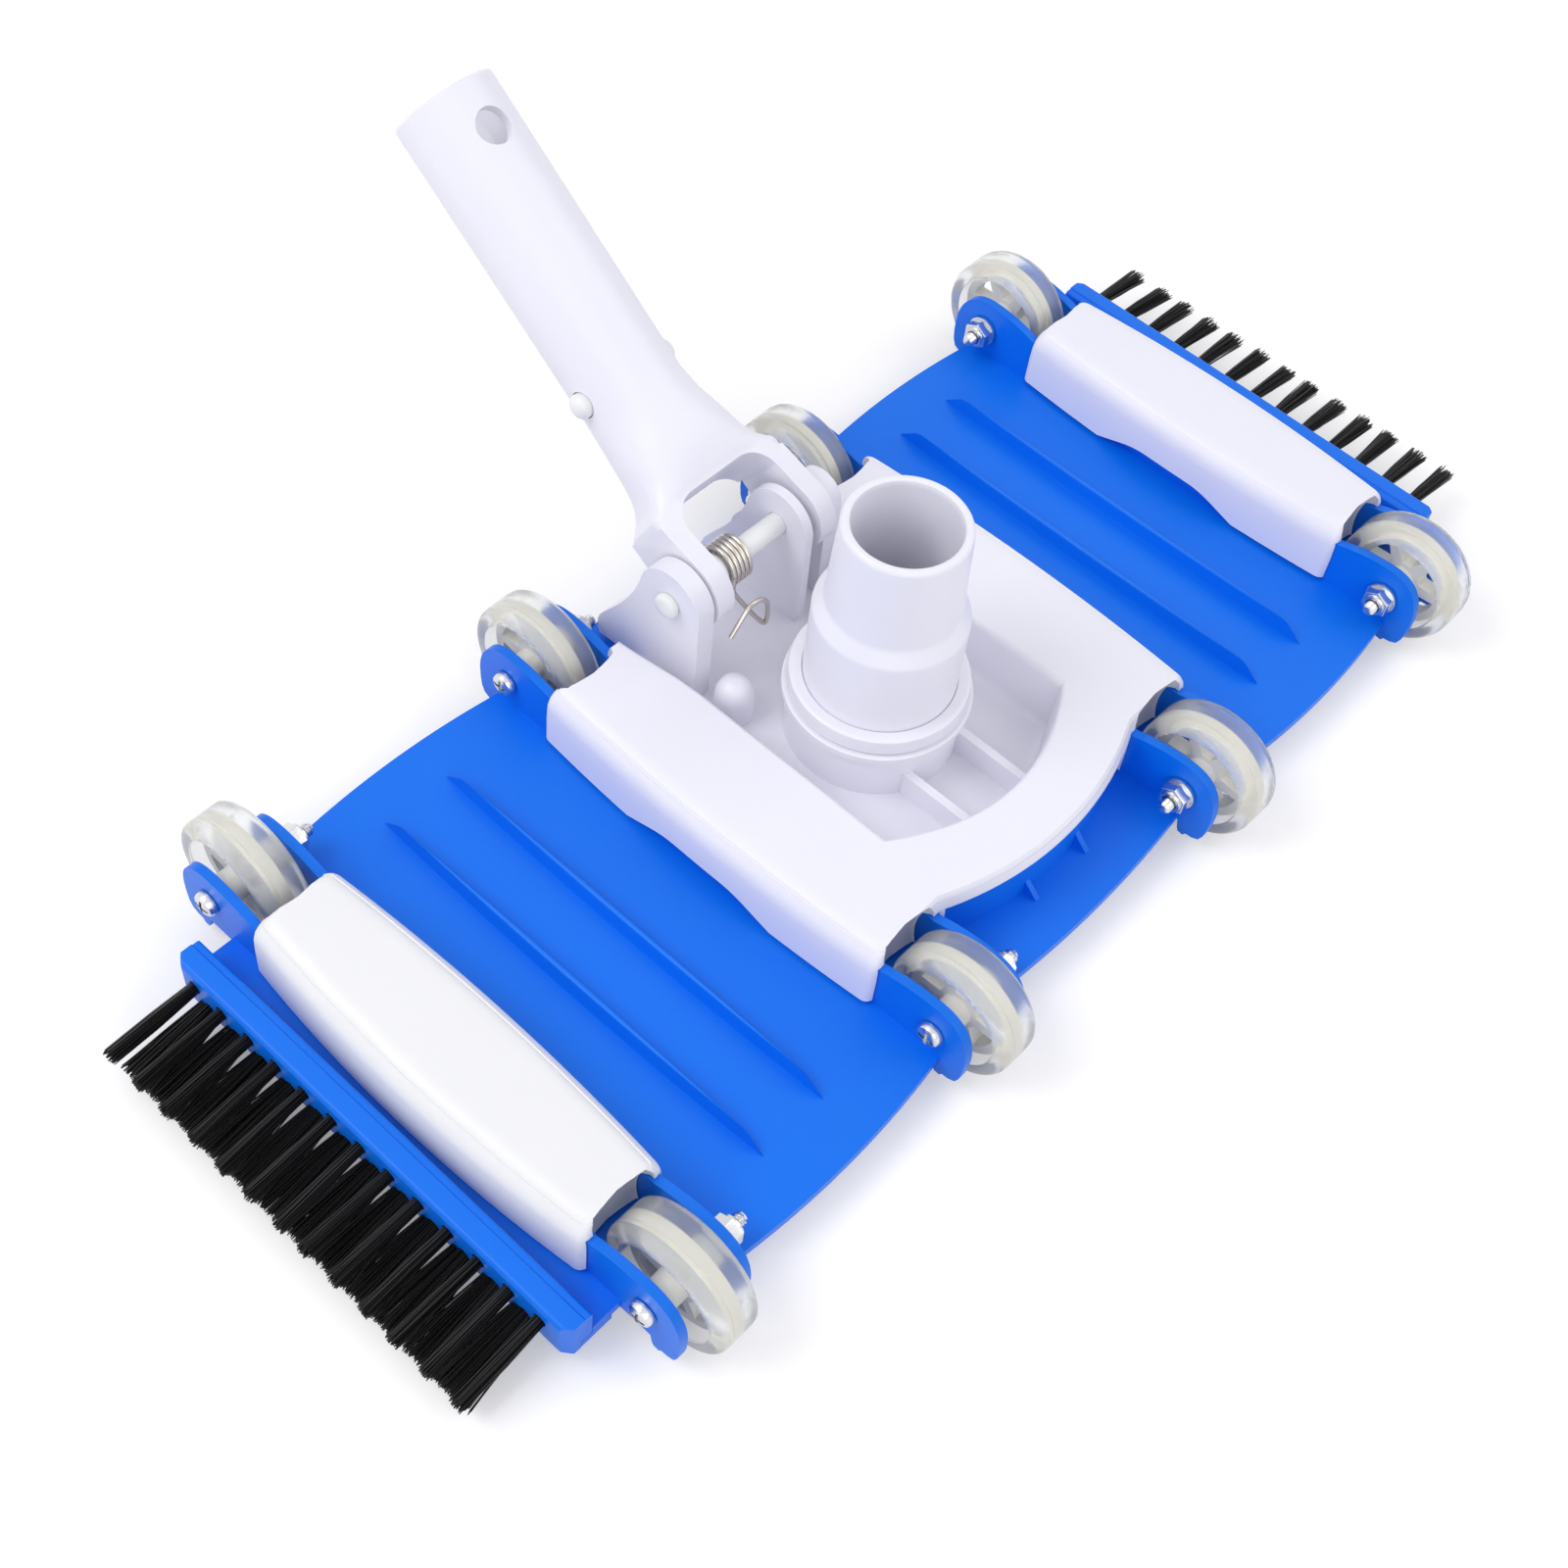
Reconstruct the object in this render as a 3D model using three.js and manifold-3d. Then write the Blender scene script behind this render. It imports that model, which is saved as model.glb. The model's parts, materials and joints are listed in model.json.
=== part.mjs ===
// Manual pool vacuum head: a flexible moulded base that rolls on eight wheels, with side brushes,
// a hose connector that swivels, and a sprung handle that tilts on a clevis.
// Millimetres, +Z up. X runs along the head, the handle leans towards +Y.
// The head is laid out about the hose connector's axis, with the floor at Z = 0, and the whole
// group is then moved along Y so that the origin is below the middle of its outline.

import * as THREE from 'three';
import { mergeVertices } from 'three/addons/utils/BufferGeometryUtils.js';
import Module from 'manifold-3d';

const wasm = await Module();
wasm.setup();

// ---- driving dimensions --------------------------------------------------------------------

const SEAT_GAP = 0.3;            // clearance kept between pieces that touch
const RAIL_CENTRES = [-149, -51, 51, 149];
const RAIL_INNER_HALF = 8.8;     // centre of a rail to the inside of its lug walls
const LUG_WALL = 2.6;
const RAIL_OUTER_HALF = RAIL_INNER_HALF + LUG_WALL;

const PLATE_TOP = 10.5;
const PLATE_BOTTOM = 7.5;
const RAIL_TOP = 25.4;           // rail walls under a cover
const LUG_TOP = 28.4;            // the same walls over a wheel's axle
const SIDE_PANEL_EDGE = 77.5;    // panel edge beside a rail, and how far it bows at mid span
const SIDE_PANEL_BOW = 2.7;
const CENTRE_PANEL_EDGE = 75.7;
const CENTRE_PANEL_BOW = 2.3;
const FLANGE_HALF_Y = 66.5;
const SUCTION_RADIUS = 21;

const WHEEL_RADIUS = 18.5;
const WHEEL_WIDTH = 13.5;
const WHEEL_Y = 74;
const WHEEL_SLOT_Y = 54.5;       // the plate is open for a wheel beyond this
const RIM_RADIUS = 14.2;
const WHEEL_SIDES = 18;          // the rim's corners and the tyre's line up
const AXLE_RADIUS = 1.9;

const BRUSH_INNER_X = 169.3;
const BRUSH_OUTER_X = 177;
const BRUSH_HALF_Y = 66.7;
const BRUSH_TOP = 20;
const TUFT_PITCH = 9.83;
const STRANDS_PER_TUFT = 6;

const COVER_TOP = 31;
const COVER_BOTTOM = 11.8;
const COVER_HALF_Y = 56;
const COVER_CORNER = 2.4;
const COVER_CEILING = 28.9;
const BOSS_FOOT = 10.8;
const ARCH_TOP = 16.6;
const WHEEL_SCOOP = [[0, 24.1], [8.2, 23], [9.6, 20.9]];  // distance from a wheel's middle, radius

const PAN_FLOOR = 14;
const PAN_UNDERSIDE = 12;
const PAN_BACK_RADIUS = 66.6;
const FRONT_ARC_RADIUS = 98.4;   // white front edge, about (0, FRONT_ARC_CENTRE_Y)
const FRONT_ARC_CENTRE_Y = 34.4;
const FRONT_WALL_TOP = 26;

const SOCKET_RADIUS = 23.5;
const SOCKET_TOP = 31.6;
const SOCKET_SHOULDER = 24;
const CONNECTOR_BORE = 13.8;
const CONNECTOR_TOP = 92.5;
const RING_TOP = 37;

const PIVOT_Y = 47.9;
const PIVOT_Z = 45.8;
const EAR_FRONT_Y = 37.3;
const EAR_TOP_RADIUS = 10.4;
const OUTER_EAR = [23.5, 29.4];  // inside and outside face of an ear
const INNER_EAR = [13.5, 16.2];
const PIN_RADIUS = 3;

const HANDLE_TILT = THREE.MathUtils.degToRad(36.66);
const HANDLE_END = new THREE.Vector3(0, 161.5, 121.15);
const TUBE_RADIUS = 14.6;
const TUBE_BORE = 11.6;
const PIVOT_REACH = 136.1;       // tube end to pivot along the tube, and pivot above its axis
const PIVOT_RISE = 7.4;
const YOKE_TILT = THREE.MathUtils.degToRad(9.3);
const ARM_X = [16.8, 22.7];
const ARM_END_RADIUS = 11;
const WINDOW_TO_PIVOT = 19.4;
const HANG_HOLE_REACH = 13.5;
const BUTTON_REACH = 82.5;
const BUTTON_RADIUS = 3.5;

const SPRING_RADIUS = 5.8;       // coil centre line
const SPRING_WIRE_RADIUS = 0.53;
const SPRING_TURNS = 4.5;
const SPRING_PITCH = 1.52;
const SPRING_STEPS = 8;          // straight steps in one turn
const SPRING_START_X = -11.4;

// ---- materials -----------------------------------------------------------------------------

const finish = (color, roughness, metalness = 0, extra = {}) =>
  new THREE.MeshStandardMaterial({ color, roughness, metalness, flatShading: true, ...extra });

const blue = () => finish(0x1f63e0, 0.35);
const white = () => finish(0xf2f2fa, 0.35);
const nylon = () => finish(0xeff3ee, 0.4);
const ivory = () => finish(0xe6ddc6, 0.45);
const clearTyre = () => finish(0xd2d6d4, 0.3, 0, { transparent: true, opacity: 0.6 });
const steel = () => finish(0xc6c8ca, 0.25, 1);
const bristle = () => finish(0x0b0b0c, 0.55);
const ballast = () => finish(0x6d7073, 0.6, 0.8);

// ---- closed geometries and solids ----------------------------------------------------------

// Merges shared points, drops collapsed triangles and turns the faces outwards.
function closed(geometry) {
  const bare = geometry.clone();
  bare.deleteAttribute('normal');
  bare.deleteAttribute('uv');
  const merged = mergeVertices(bare, 1e-4);
  const spots = merged.getAttribute('position');
  const pointAt = (i) => new THREE.Vector3().fromBufferAttribute(spots, i);
  const points = Array.from({ length: spots.count }, (_, i) => pointAt(i));
  const triangles = [];
  let volume = 0;
  for (let i = 0; i < merged.index.count; i += 3) {
    const [a, b, c] = [0, 1, 2].map((k) => merged.index.getX(i + k));
    if (a === b || b === c || c === a) continue;
    triangles.push([a, b, c]);
    volume += points[a].dot(new THREE.Vector3().crossVectors(points[b], points[c]));
  }
  const flat = triangles.flatMap(([a, b, c]) => (volume < 0 ? [a, c, b] : [a, b, c]));
  merged.setIndex(new THREE.BufferAttribute(Uint32Array.from(flat), 1));
  return merged;
}

function solid(geometry) {
  const shell = closed(geometry);
  return new wasm.Manifold(new wasm.Mesh({
    numProp: 3,
    vertProperties: Float32Array.from(shell.getAttribute('position').array),
    triVerts: Uint32Array.from(shell.index.array),
  }));
}

const joined = (parts) => parts.reduce((whole, part) => whole.add(part));
const cutBy = (whole, tools) => tools.reduce((left, tool) => left.subtract(tool), whole);

function meshOf(name, body, material) {
  const cut = body.getMesh();
  const geometry = new THREE.BufferGeometry();
  geometry.setAttribute('position', new THREE.BufferAttribute(Float32Array.from(cut.vertProperties), 3));
  geometry.setIndex(new THREE.BufferAttribute(Uint32Array.from(cut.triVerts), 1));
  geometry.computeVertexNormals();
  const mesh = new THREE.Mesh(geometry, material);
  mesh.name = name;
  return mesh;
}

// Points round corners given as [u, v] or [u, v, rounding radius].
function roundedPoints(corners, arcSteps) {
  const points = [];
  corners.forEach(([u, v, radius = 0], i) => {
    const here = new THREE.Vector2(u, v);
    if (!radius) {
      points.push(here);
      return;
    }
    const before = new THREE.Vector2(...corners[(i + corners.length - 1) % corners.length]);
    const after = new THREE.Vector2(...corners[(i + 1) % corners.length]);
    const back = before.sub(here).normalize();
    const ahead = after.sub(here).normalize();
    const half = Math.acos(THREE.MathUtils.clamp(back.dot(ahead), -1, 1)) / 2;
    const start = here.clone().addScaledVector(back, radius / Math.tan(half));
    const end = here.clone().addScaledVector(ahead, radius / Math.tan(half));
    const curve = new THREE.QuadraticBezierCurve(start, here, end);
    points.push(...curve.getPoints(arcSteps));
  });
  return points;
}

const outline = (corners, arcSteps = 4) => new THREE.Shape(roundedPoints(corners, arcSteps));

// Points of an arc about (u, v), from one angle to another in degrees.
function arc(u, v, radius, from, to, steps) {
  return Array.from({ length: steps + 1 }, (_, i) => {
    const turn = THREE.MathUtils.degToRad(from + ((to - from) * i) / steps);
    return [u + radius * Math.cos(turn), v + radius * Math.sin(turn)];
  });
}

function extruded(shape, depth) {
  return new THREE.ExtrudeGeometry(shape, { depth, bevelEnabled: false, curveSegments: 8 });
}

// Prisms: the outline's u and v lie on the two other axes, in X, Y, Z order.
function alongZ(shape, low, high) {
  return solid(extruded(shape, high - low).translate(0, 0, low));
}

function alongX(shape, low, high) {
  const turn = new THREE.Matrix4().makeBasis(
    new THREE.Vector3(0, 1, 0), new THREE.Vector3(0, 0, 1), new THREE.Vector3(1, 0, 0));
  return solid(extruded(shape, high - low).applyMatrix4(turn).translate(low, 0, 0));
}

function alongY(shape, low, high) {
  const turn = new THREE.Matrix4().makeBasis(
    new THREE.Vector3(1, 0, 0), new THREE.Vector3(0, 0, 1), new THREE.Vector3(0, -1, 0));
  return solid(extruded(shape, high - low).applyMatrix4(turn).translate(0, high, 0));
}

const box = (x, y, z) => solid(new THREE.BoxGeometry(x[1] - x[0], y[1] - y[0], z[1] - z[0])
  .translate((x[0] + x[1]) / 2, (y[0] + y[1]) / 2, (z[0] + z[1]) / 2));

// Turned pieces: profile points are [radius, height] about Z, or [radius, distance] about X.
function turnedZ(profile, segments, x = 0, y = 0) {
  const points = profile.map(([r, h]) => new THREE.Vector2(r, h));
  return solid(new THREE.LatheGeometry(points, segments).rotateX(Math.PI / 2).translate(x, y, 0));
}

function turnedX(profile, segments, y = 0, z = 0) {
  const points = profile.map(([r, h]) => new THREE.Vector2(r, h));
  return solid(new THREE.LatheGeometry(points, segments).rotateZ(-Math.PI / 2).translate(0, y, z));
}

const rodZ = (radius, low, high, segments, x = 0, y = 0) =>
  turnedZ([[0, low], [radius, low], [radius, high], [0, high]], segments, x, y);
const rodX = (radius, low, high, segments, y = 0, z = 0) =>
  turnedX([[0, low], [radius, low], [radius, high], [0, high]], segments, y, z);

// A skin through rings of equal point count, closed by a cap at each end.
function lofted(rings) {
  const count = rings[0].length;
  const positions = rings.flat().flatMap((point) => point.toArray());
  const faces = [];
  for (let level = 0; level < rings.length - 1; level += 1) {
    for (let i = 0; i < count; i += 1) {
      const a = level * count + i;
      const b = level * count + ((i + 1) % count);
      faces.push(a, b, b + count, a, b + count, a + count);
    }
  }
  const cap = (ring, first, flip) => {
    const normal = new THREE.Vector3();
    ring.forEach((point, i) => normal.add(
      new THREE.Vector3().crossVectors(point, ring[(i + 1) % count])));
    const [u, v] = Math.abs(normal.y) > Math.abs(normal.z) ? ['x', 'z'] : ['x', 'y'];
    const flatRing = ring.map((point) => new THREE.Vector2(point[u], point[v]));
    const turned = THREE.ShapeUtils.area(flatRing) < 0;
    const loop = turned ? [...flatRing].reverse() : flatRing;
    THREE.ShapeUtils.triangulateShape(loop, []).forEach((corner) => {
      const ids = corner.map((k) => first + (turned ? count - 1 - k : k));
      faces.push(...(flip !== turned ? ids.reverse() : ids));
    });
  };
  cap(rings[0], 0, true);
  cap(rings.at(-1), (rings.length - 1) * count, false);
  const geometry = new THREE.BufferGeometry();
  geometry.setAttribute('position', new THREE.Float32BufferAttribute(positions, 3));
  geometry.setIndex(faces);
  return solid(geometry);
}

// Rings of points round a wire's centre line, square to it.
function wireRings(points, radii, sides) {
  const across = new THREE.Vector3(1, 0, 0).cross(points[1].clone().sub(points[0])).normalize();
  return points.map((point, i) => {
    const before = points[Math.max(i - 1, 0)];
    const after = points[Math.min(i + 1, points.length - 1)];
    const tangent = after.clone().sub(before).normalize();
    across.addScaledVector(tangent, -across.dot(tangent)).normalize();
    const other = new THREE.Vector3().crossVectors(tangent, across);
    return Array.from({ length: sides }, (_, k) => {
      const turn = (2 * Math.PI * k) / sides;
      return point.clone()
        .addScaledVector(across, radii[i] * Math.cos(turn))
        .addScaledVector(other, radii[i] * Math.sin(turn));
    });
  });
}

// A wire with one radius at each point, closed by a fan of triangles at each end.
function wire(points, radii, sides) {
  const rings = wireRings(points, radii, sides);
  const faces = [];
  for (let ring = 0; ring < rings.length - 1; ring += 1) {
    for (let k = 0; k < sides; k += 1) {
      const a = ring * sides + k;
      const b = ring * sides + ((k + 1) % sides);
      faces.push(a, b, b + sides, a, b + sides, a + sides);
    }
  }
  const last = (rings.length - 1) * sides;
  for (let k = 1; k < sides - 1; k += 1) {
    faces.push(0, k + 1, k);
    faces.push(last, last + k, last + k + 1);
  }
  const geometry = new THREE.BufferGeometry();
  const positions = rings.flat().flatMap((point) => point.toArray());
  geometry.setAttribute('position', new THREE.Float32BufferAttribute(positions, 3));
  geometry.setIndex(faces);
  return solid(geometry);
}

// Two values in rising order, for a span mirrored to the other side.
const span = (from, to) => [Math.min(from, to), Math.max(from, to)];

// ---- base moulding -------------------------------------------------------------------------

const SCREW_Y = 43;              // cover screws, ahead of and behind the middle of each rail
const SCREW_HOLE = 1.9;
const PANEL_RIB_CENTRES = [-112, -91, 91, 112];
const PANEL_RIB_HEIGHT = 5;
const FLANGE_FOOT = 5.4;

function plateOutline() {
  const shape = new THREE.Shape();
  shape.moveTo(-BRUSH_INNER_X + SEAT_GAP, -FLANGE_HALF_Y);
  const walk = (side) => {
    const rails = side < 0 ? RAIL_CENTRES : [...RAIL_CENTRES].reverse();
    rails.forEach((centre, i) => {
      const edge = (k) => (k === 1 ? CENTRE_PANEL_EDGE : SIDE_PANEL_EDGE);
      const reach = side * (i === 0 ? FLANGE_HALF_Y : edge(i - 1));
      const near = centre + side * RAIL_OUTER_HALF;
      const far = centre - side * RAIL_OUTER_HALF;
      shape.lineTo(near, reach);
      shape.lineTo(near, side * SIDE_PANEL_EDGE);
      shape.lineTo(centre + side * RAIL_INNER_HALF, side * SIDE_PANEL_EDGE);
      shape.lineTo(centre + side * RAIL_INNER_HALF, side * WHEEL_SLOT_Y);
      shape.lineTo(centre - side * RAIL_INNER_HALF, side * WHEEL_SLOT_Y);
      shape.lineTo(centre - side * RAIL_INNER_HALF, side * SIDE_PANEL_EDGE);
      shape.lineTo(far, side * SIDE_PANEL_EDGE);
      if (i === 3) return;
      const bow = i === 1 ? CENTRE_PANEL_BOW : SIDE_PANEL_BOW;
      const next = rails[i + 1] + side * RAIL_OUTER_HALF;
      shape.lineTo(far, side * edge(i));
      shape.quadraticCurveTo((far + next) / 2, side * (edge(i) + 2 * bow), next, side * edge(i));
    });
    const end = -side * (BRUSH_INNER_X - SEAT_GAP);
    shape.lineTo(-side * (RAIL_CENTRES[3] + RAIL_OUTER_HALF), side * FLANGE_HALF_Y);
    shape.lineTo(end, side * FLANGE_HALF_Y);
  };
  walk(-1);
  walk(1);
  return shape;
}

// Side view of a lug wall: low under the cover, rounded over the wheel and hooked below.
function lugWall(low, high) {
  const curve = (from, pull, to, steps) => new THREE.QuadraticBezierCurve(
    new THREE.Vector2(...from), new THREE.Vector2(...pull), new THREE.Vector2(...to))
    .getPoints(steps).map((point) => point.toArray());
  const hook = [[76, PLATE_BOTTOM], [77.2, 3.3], [78.8, 3.3], [79.4, 4.6], [83.3, 5.4], [84.5, 9.6]];
  const nose = curve([84.7, 15], [84.2, LUG_TOP], [73, LUG_TOP], 5);
  const back = curve([72, LUG_TOP], [64, LUG_TOP - 0.2], [56.4, RAIL_TOP], 3);
  const right = [...hook, ...nose, ...back];
  const left = right.map(([y, z]) => [-y, z]).reverse();
  const wall = alongX(outline([...right, ...left]), low, high);
  const axleHole = (y) => rodX(AXLE_RADIUS + 0.4, low - 1, high + 1, 8, y, WHEEL_RADIUS);
  const holes = [-WHEEL_Y, WHEEL_Y].map(axleHole);
  return cutBy(wall, holes);
}

// A raised rib on a side panel: a ridge that thins out to nothing at both ends.
function panelRib(x) {
  const corners = 12;
  const ring = (halfWidth, halfLength, z) => Array.from({ length: corners }, (_, i) => {
    const turn = (2 * Math.PI * i) / corners;
    const across = Math.sin(turn) * Math.abs(Math.sin(turn));
    return new THREE.Vector3(x - across * halfWidth, 0.7 + Math.cos(turn) * halfLength, z);
  });
  return lofted([ring(2.1, 65.5, PLATE_TOP - 1), ring(1.8, 65, PLATE_TOP + 0.3),
    ring(0.9, 58, PLATE_TOP + PANEL_RIB_HEIGHT - 0.6), ring(0.5, 54, PLATE_TOP + PANEL_RIB_HEIGHT)]);
}

// Blue wall that carries the front edge of the centre cover, following its curve.
function frontWall() {
  const reach = Math.asin(37.6 / FRONT_ARC_RADIUS) * THREE.MathUtils.RAD2DEG;
  const ring = (inset, from, to) =>
    arc(0, FRONT_ARC_CENTRE_Y, FRONT_ARC_RADIUS - inset, 270 + from, 270 + to, 12);
  const wall = alongZ(outline([...ring(1.6, -reach, reach), ...ring(4, reach, -reach)]),
    PLATE_TOP - 1, FRONT_WALL_TOP);
  const gusset = (x) => alongX(
    outline([
      [-60.5, PLATE_TOP - 1], [-60.5, PLATE_TOP + 5], [-66.5, PLATE_TOP + 0.2], [-66.5, PLATE_TOP - 1],
    ]),
    x - 0.8, x + 0.8);
  return joined([wall, gusset(-9.5), gusset(11.5)]);
}

function basePlate() {
  const plate = alongZ(plateOutline(), PLATE_BOTTOM, PLATE_TOP);
  const walls = RAIL_CENTRES.flatMap((centre) => [-1, 1].map((side) =>
    lugWall(...span(centre + side * RAIL_INNER_HALF, centre + side * RAIL_OUTER_HALF))));
  const collar = rodZ(24, PLATE_TOP - 1, PAN_UNDERSIDE - SEAT_GAP, 24);
  const feet = [-1, 1].map((side) => box(span(side * 163, side * (BRUSH_INNER_X + 2.9)),
    [-FLANGE_HALF_Y, FLANGE_HALF_Y], [FLANGE_FOOT, PLATE_BOTTOM + 0.5]));
  const screwHoles = RAIL_CENTRES.flatMap((centre) => [-SCREW_Y, SCREW_Y].map((y) =>
    rodZ(SCREW_HOLE, 0, PLATE_TOP + 2, 8, centre, y)));
  const suction = rodZ(SUCTION_RADIUS, 0, PLATE_TOP + 5, 24);
  const ribs = PANEL_RIB_CENTRES.map(panelRib);
  return cutBy(joined([plate, ...walls, ...ribs, collar, ...feet, frontWall()]), [suction, ...screwHoles]);
}

// ---- side brushes --------------------------------------------------------------------------

const SLICE_LOW = 7.4;           // the bristles' backing lies in a groove of the bar's outer face
const SLICE_HIGH = 16.4;
const SLICE_DEPTH = 1.2;
const SLICE_HALF_Y = 64.2;
const TUFT_ROWS = [
  { count: 13, rootZ: 14.2, tipX: 202.6, tipZ: 11, spreadY: 2, spreadZ: 1.7, shift: 1 },
  { count: 12, rootZ: 9.8, tipX: 200, tipZ: 3.6, spreadY: 4.3, spreadZ: 1.4, shift: 1 },
];

function brushBar(side) {
  const foot = BRUSH_INNER_X + 3.2;
  const profile = [[BRUSH_INNER_X, PLATE_BOTTOM + 1.4], [foot, PLATE_BOTTOM + 1.4], [foot, 5.6],
    [BRUSH_OUTER_X, 6.3, 0.8], [BRUSH_OUTER_X, BRUSH_TOP, 1], [BRUSH_INNER_X, BRUSH_TOP, 0.8]];
  const bar = alongY(outline(profile.map(([x, z, r]) => [side * x, z, r]), 2), -BRUSH_HALF_Y, BRUSH_HALF_Y);
  const groove = box(span(side * (BRUSH_OUTER_X - SLICE_DEPTH - SEAT_GAP), side * (BRUSH_OUTER_X + 1)),
    [-SLICE_HALF_Y - SEAT_GAP, SLICE_HALF_Y + SEAT_GAP], [SLICE_LOW - SEAT_GAP, SLICE_HIGH + SEAT_GAP]);
  return bar.subtract(groove);
}

// A tuft leaves the bar as a tight bundle of three-sided strands and fans out to its tip.
function tuft(side, y, row) {
  return Array.from({ length: STRANDS_PER_TUFT }, (_, i) => {
    const turn = (2 * Math.PI * (i + 0.25)) / STRANDS_PER_TUFT;
    const place = (x, z, halfY, halfZ) =>
      new THREE.Vector3(side * x, y + halfY * Math.cos(turn), z + halfZ * Math.sin(turn));
    const ends = [place(BRUSH_OUTER_X - 0.6, row.rootZ, 1.05, 1.05),
      place(row.tipX, row.tipZ, row.spreadY, row.spreadZ)];
    return wire(ends, [0.5, 0.36], 3);
  });
}

function bristles(side) {
  const slice = box(span(side * (BRUSH_OUTER_X - SLICE_DEPTH), side * BRUSH_OUTER_X),
    [-SLICE_HALF_Y, SLICE_HALF_Y], [SLICE_LOW, SLICE_HIGH]);
  const tufts = TUFT_ROWS.flatMap((row) => Array.from({ length: row.count }, (_, i) =>
    tuft(side, row.shift + (i - (row.count - 1) / 2) * TUFT_PITCH, row)).flat());
  return joined([slice, ...tufts]);
}

// ---- white covers --------------------------------------------------------------------------

// Clearance turned about a wheel's axle, a little smaller at both sides of the wheel.
function wheelScoop(centre, y) {
  const reach = WHEEL_SCOOP.at(-1)[0];
  const right = WHEEL_SCOOP.map(([x, radius]) => [radius, centre + x]);
  const left = WHEEL_SCOOP.slice(1).map(([x, radius]) => [radius, centre - x]).reverse();
  return turnedX([[0, centre - reach], ...left, ...right, [0, centre + reach]], 20, y, WHEEL_RADIUS);
}

// The rail's walls and what lies between them, up to the cover's ceiling between the walls.
function railCavities(centre) {
  const outer = RAIL_OUTER_HALF + SEAT_GAP;
  const inner = RAIL_INNER_HALF - SEAT_GAP;
  const wide = box([centre - outer, centre + outer], [-47.5, 47.5], [5, RAIL_TOP + SEAT_GAP]);
  const narrow = box([centre - inner, centre + inner], [-47.5, 47.5], [5, COVER_CEILING]);
  const slots = [-1, 1].flatMap((end) => [-1, 1].map((side) => {
    const x = span(centre + side * inner, centre + side * outer);
    return box(x, span(end * 47, end * 60), [5, RAIL_TOP + SEAT_GAP]);
  }));
  return [wide, narrow, ...slots];
}

const screwBosses = (centre) => [-SCREW_Y, SCREW_Y].map((y) =>
  rodZ(3.4, BOSS_FOOT, COVER_CEILING + 0.5, 10, centre, y));
const screwPilots = (centre) => [-SCREW_Y, SCREW_Y].map((y) => rodZ(SCREW_HOLE, 5, 22, 8, centre, y));

// Shallow arch cut in the lower edge of a cover's long wall.
function wallArch(low, high) {
  const corners = [[-25, 5], [-25, COVER_BOTTOM], [-12, ARCH_TOP, 4], [12, ARCH_TOP, 4],
    [25, COVER_BOTTOM], [25, 5]];
  return alongX(outline(corners, 3), low, high);
}

// Corners down a long side, bowed outwards in the middle and rounded at both ends.
function longSide(x, bow, halfY, upwards) {
  const steps = 4;
  return Array.from({ length: steps + 1 }, (_, i) => {
    const t = upwards ? i / steps : 1 - i / steps;
    const y = -halfY + 2 * halfY * t;
    return [x + bow * (1 - (y / halfY) ** 2), y, i % steps ? 0 : COVER_CORNER];
  });
}

// Inner and outer X of an end cover at each level, as [z, inner, inner bow, outer, outer bow, inset].
const END_COVER_LEVELS = [
  [COVER_BOTTOM, 135.9, -2.6, 162.4, 3.6, 0],
  [24.5, 136.2, -2.2, 162, 3.1, 0.1],
  [27.8, 137.2, -2, 160.9, 2.7, 0.6],
  [29.8, 138.9, -1.9, 159.2, 2.3, 1.2],
  [COVER_TOP, 142, -1.8, 156.2, 2.1, 2],
];

function endCover(side) {
  const centre = side * RAIL_CENTRES[3];
  const ring = ([z, inner, innerBow, outer, outerBow, inset]) => {
    const halfY = COVER_HALF_Y - inset;
    const corners = [...longSide(outer, outerBow, halfY, true), ...longSide(inner, innerBow, halfY, false)];
    return roundedPoints(corners, 2).map(({ x, y }) => new THREE.Vector3(side * x, y, z));
  };
  const shell = cutBy(lofted(END_COVER_LEVELS.map(ring)), railCavities(centre));
  const bossed = joined([shell, ...screwBosses(centre)]);
  const scoops = [-WHEEL_Y, WHEEL_Y].map((y) => wheelScoop(centre, y));
  const arch = wallArch(...span(side * 130, side * (149 - RAIL_OUTER_HALF)));
  return cutBy(bossed, [...scoops, ...screwPilots(centre), arch]);
}

// Outer X, bow and edge inset of the centre cover at each level.
const CENTRE_COVER_LEVELS = [
  [COVER_BOTTOM, 64.6, 2.7, 0],
  [24.5, 64.2, 2.3, 0.1],
  [27.8, 63.2, 2, 0.6],
  [29.8, 61.5, 1.8, 1.2],
  [COVER_TOP, 58.4, 1.7, 2],
];

function centreCoverShell() {
  const ring = ([z, x, bow, inset]) => {
    const halfY = COVER_HALF_Y - inset;
    const right = longSide(x, bow, halfY, true);
    const left = right.map(([u, v, radius]) => [-u, v, radius]).reverse();
    const reach = Math.asin(40 / FRONT_ARC_RADIUS) * THREE.MathUtils.RAD2DEG;
    const front = arc(0, FRONT_ARC_CENTRE_Y, FRONT_ARC_RADIUS - inset, 270 - reach, 270 + reach, 12);
    return roundedPoints([...right, ...left, ...front], 2).map(({ x: u, y }) => new THREE.Vector3(u, y, z));
  };
  return lofted(CENTRE_COVER_LEVELS.map(ring));
}

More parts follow.
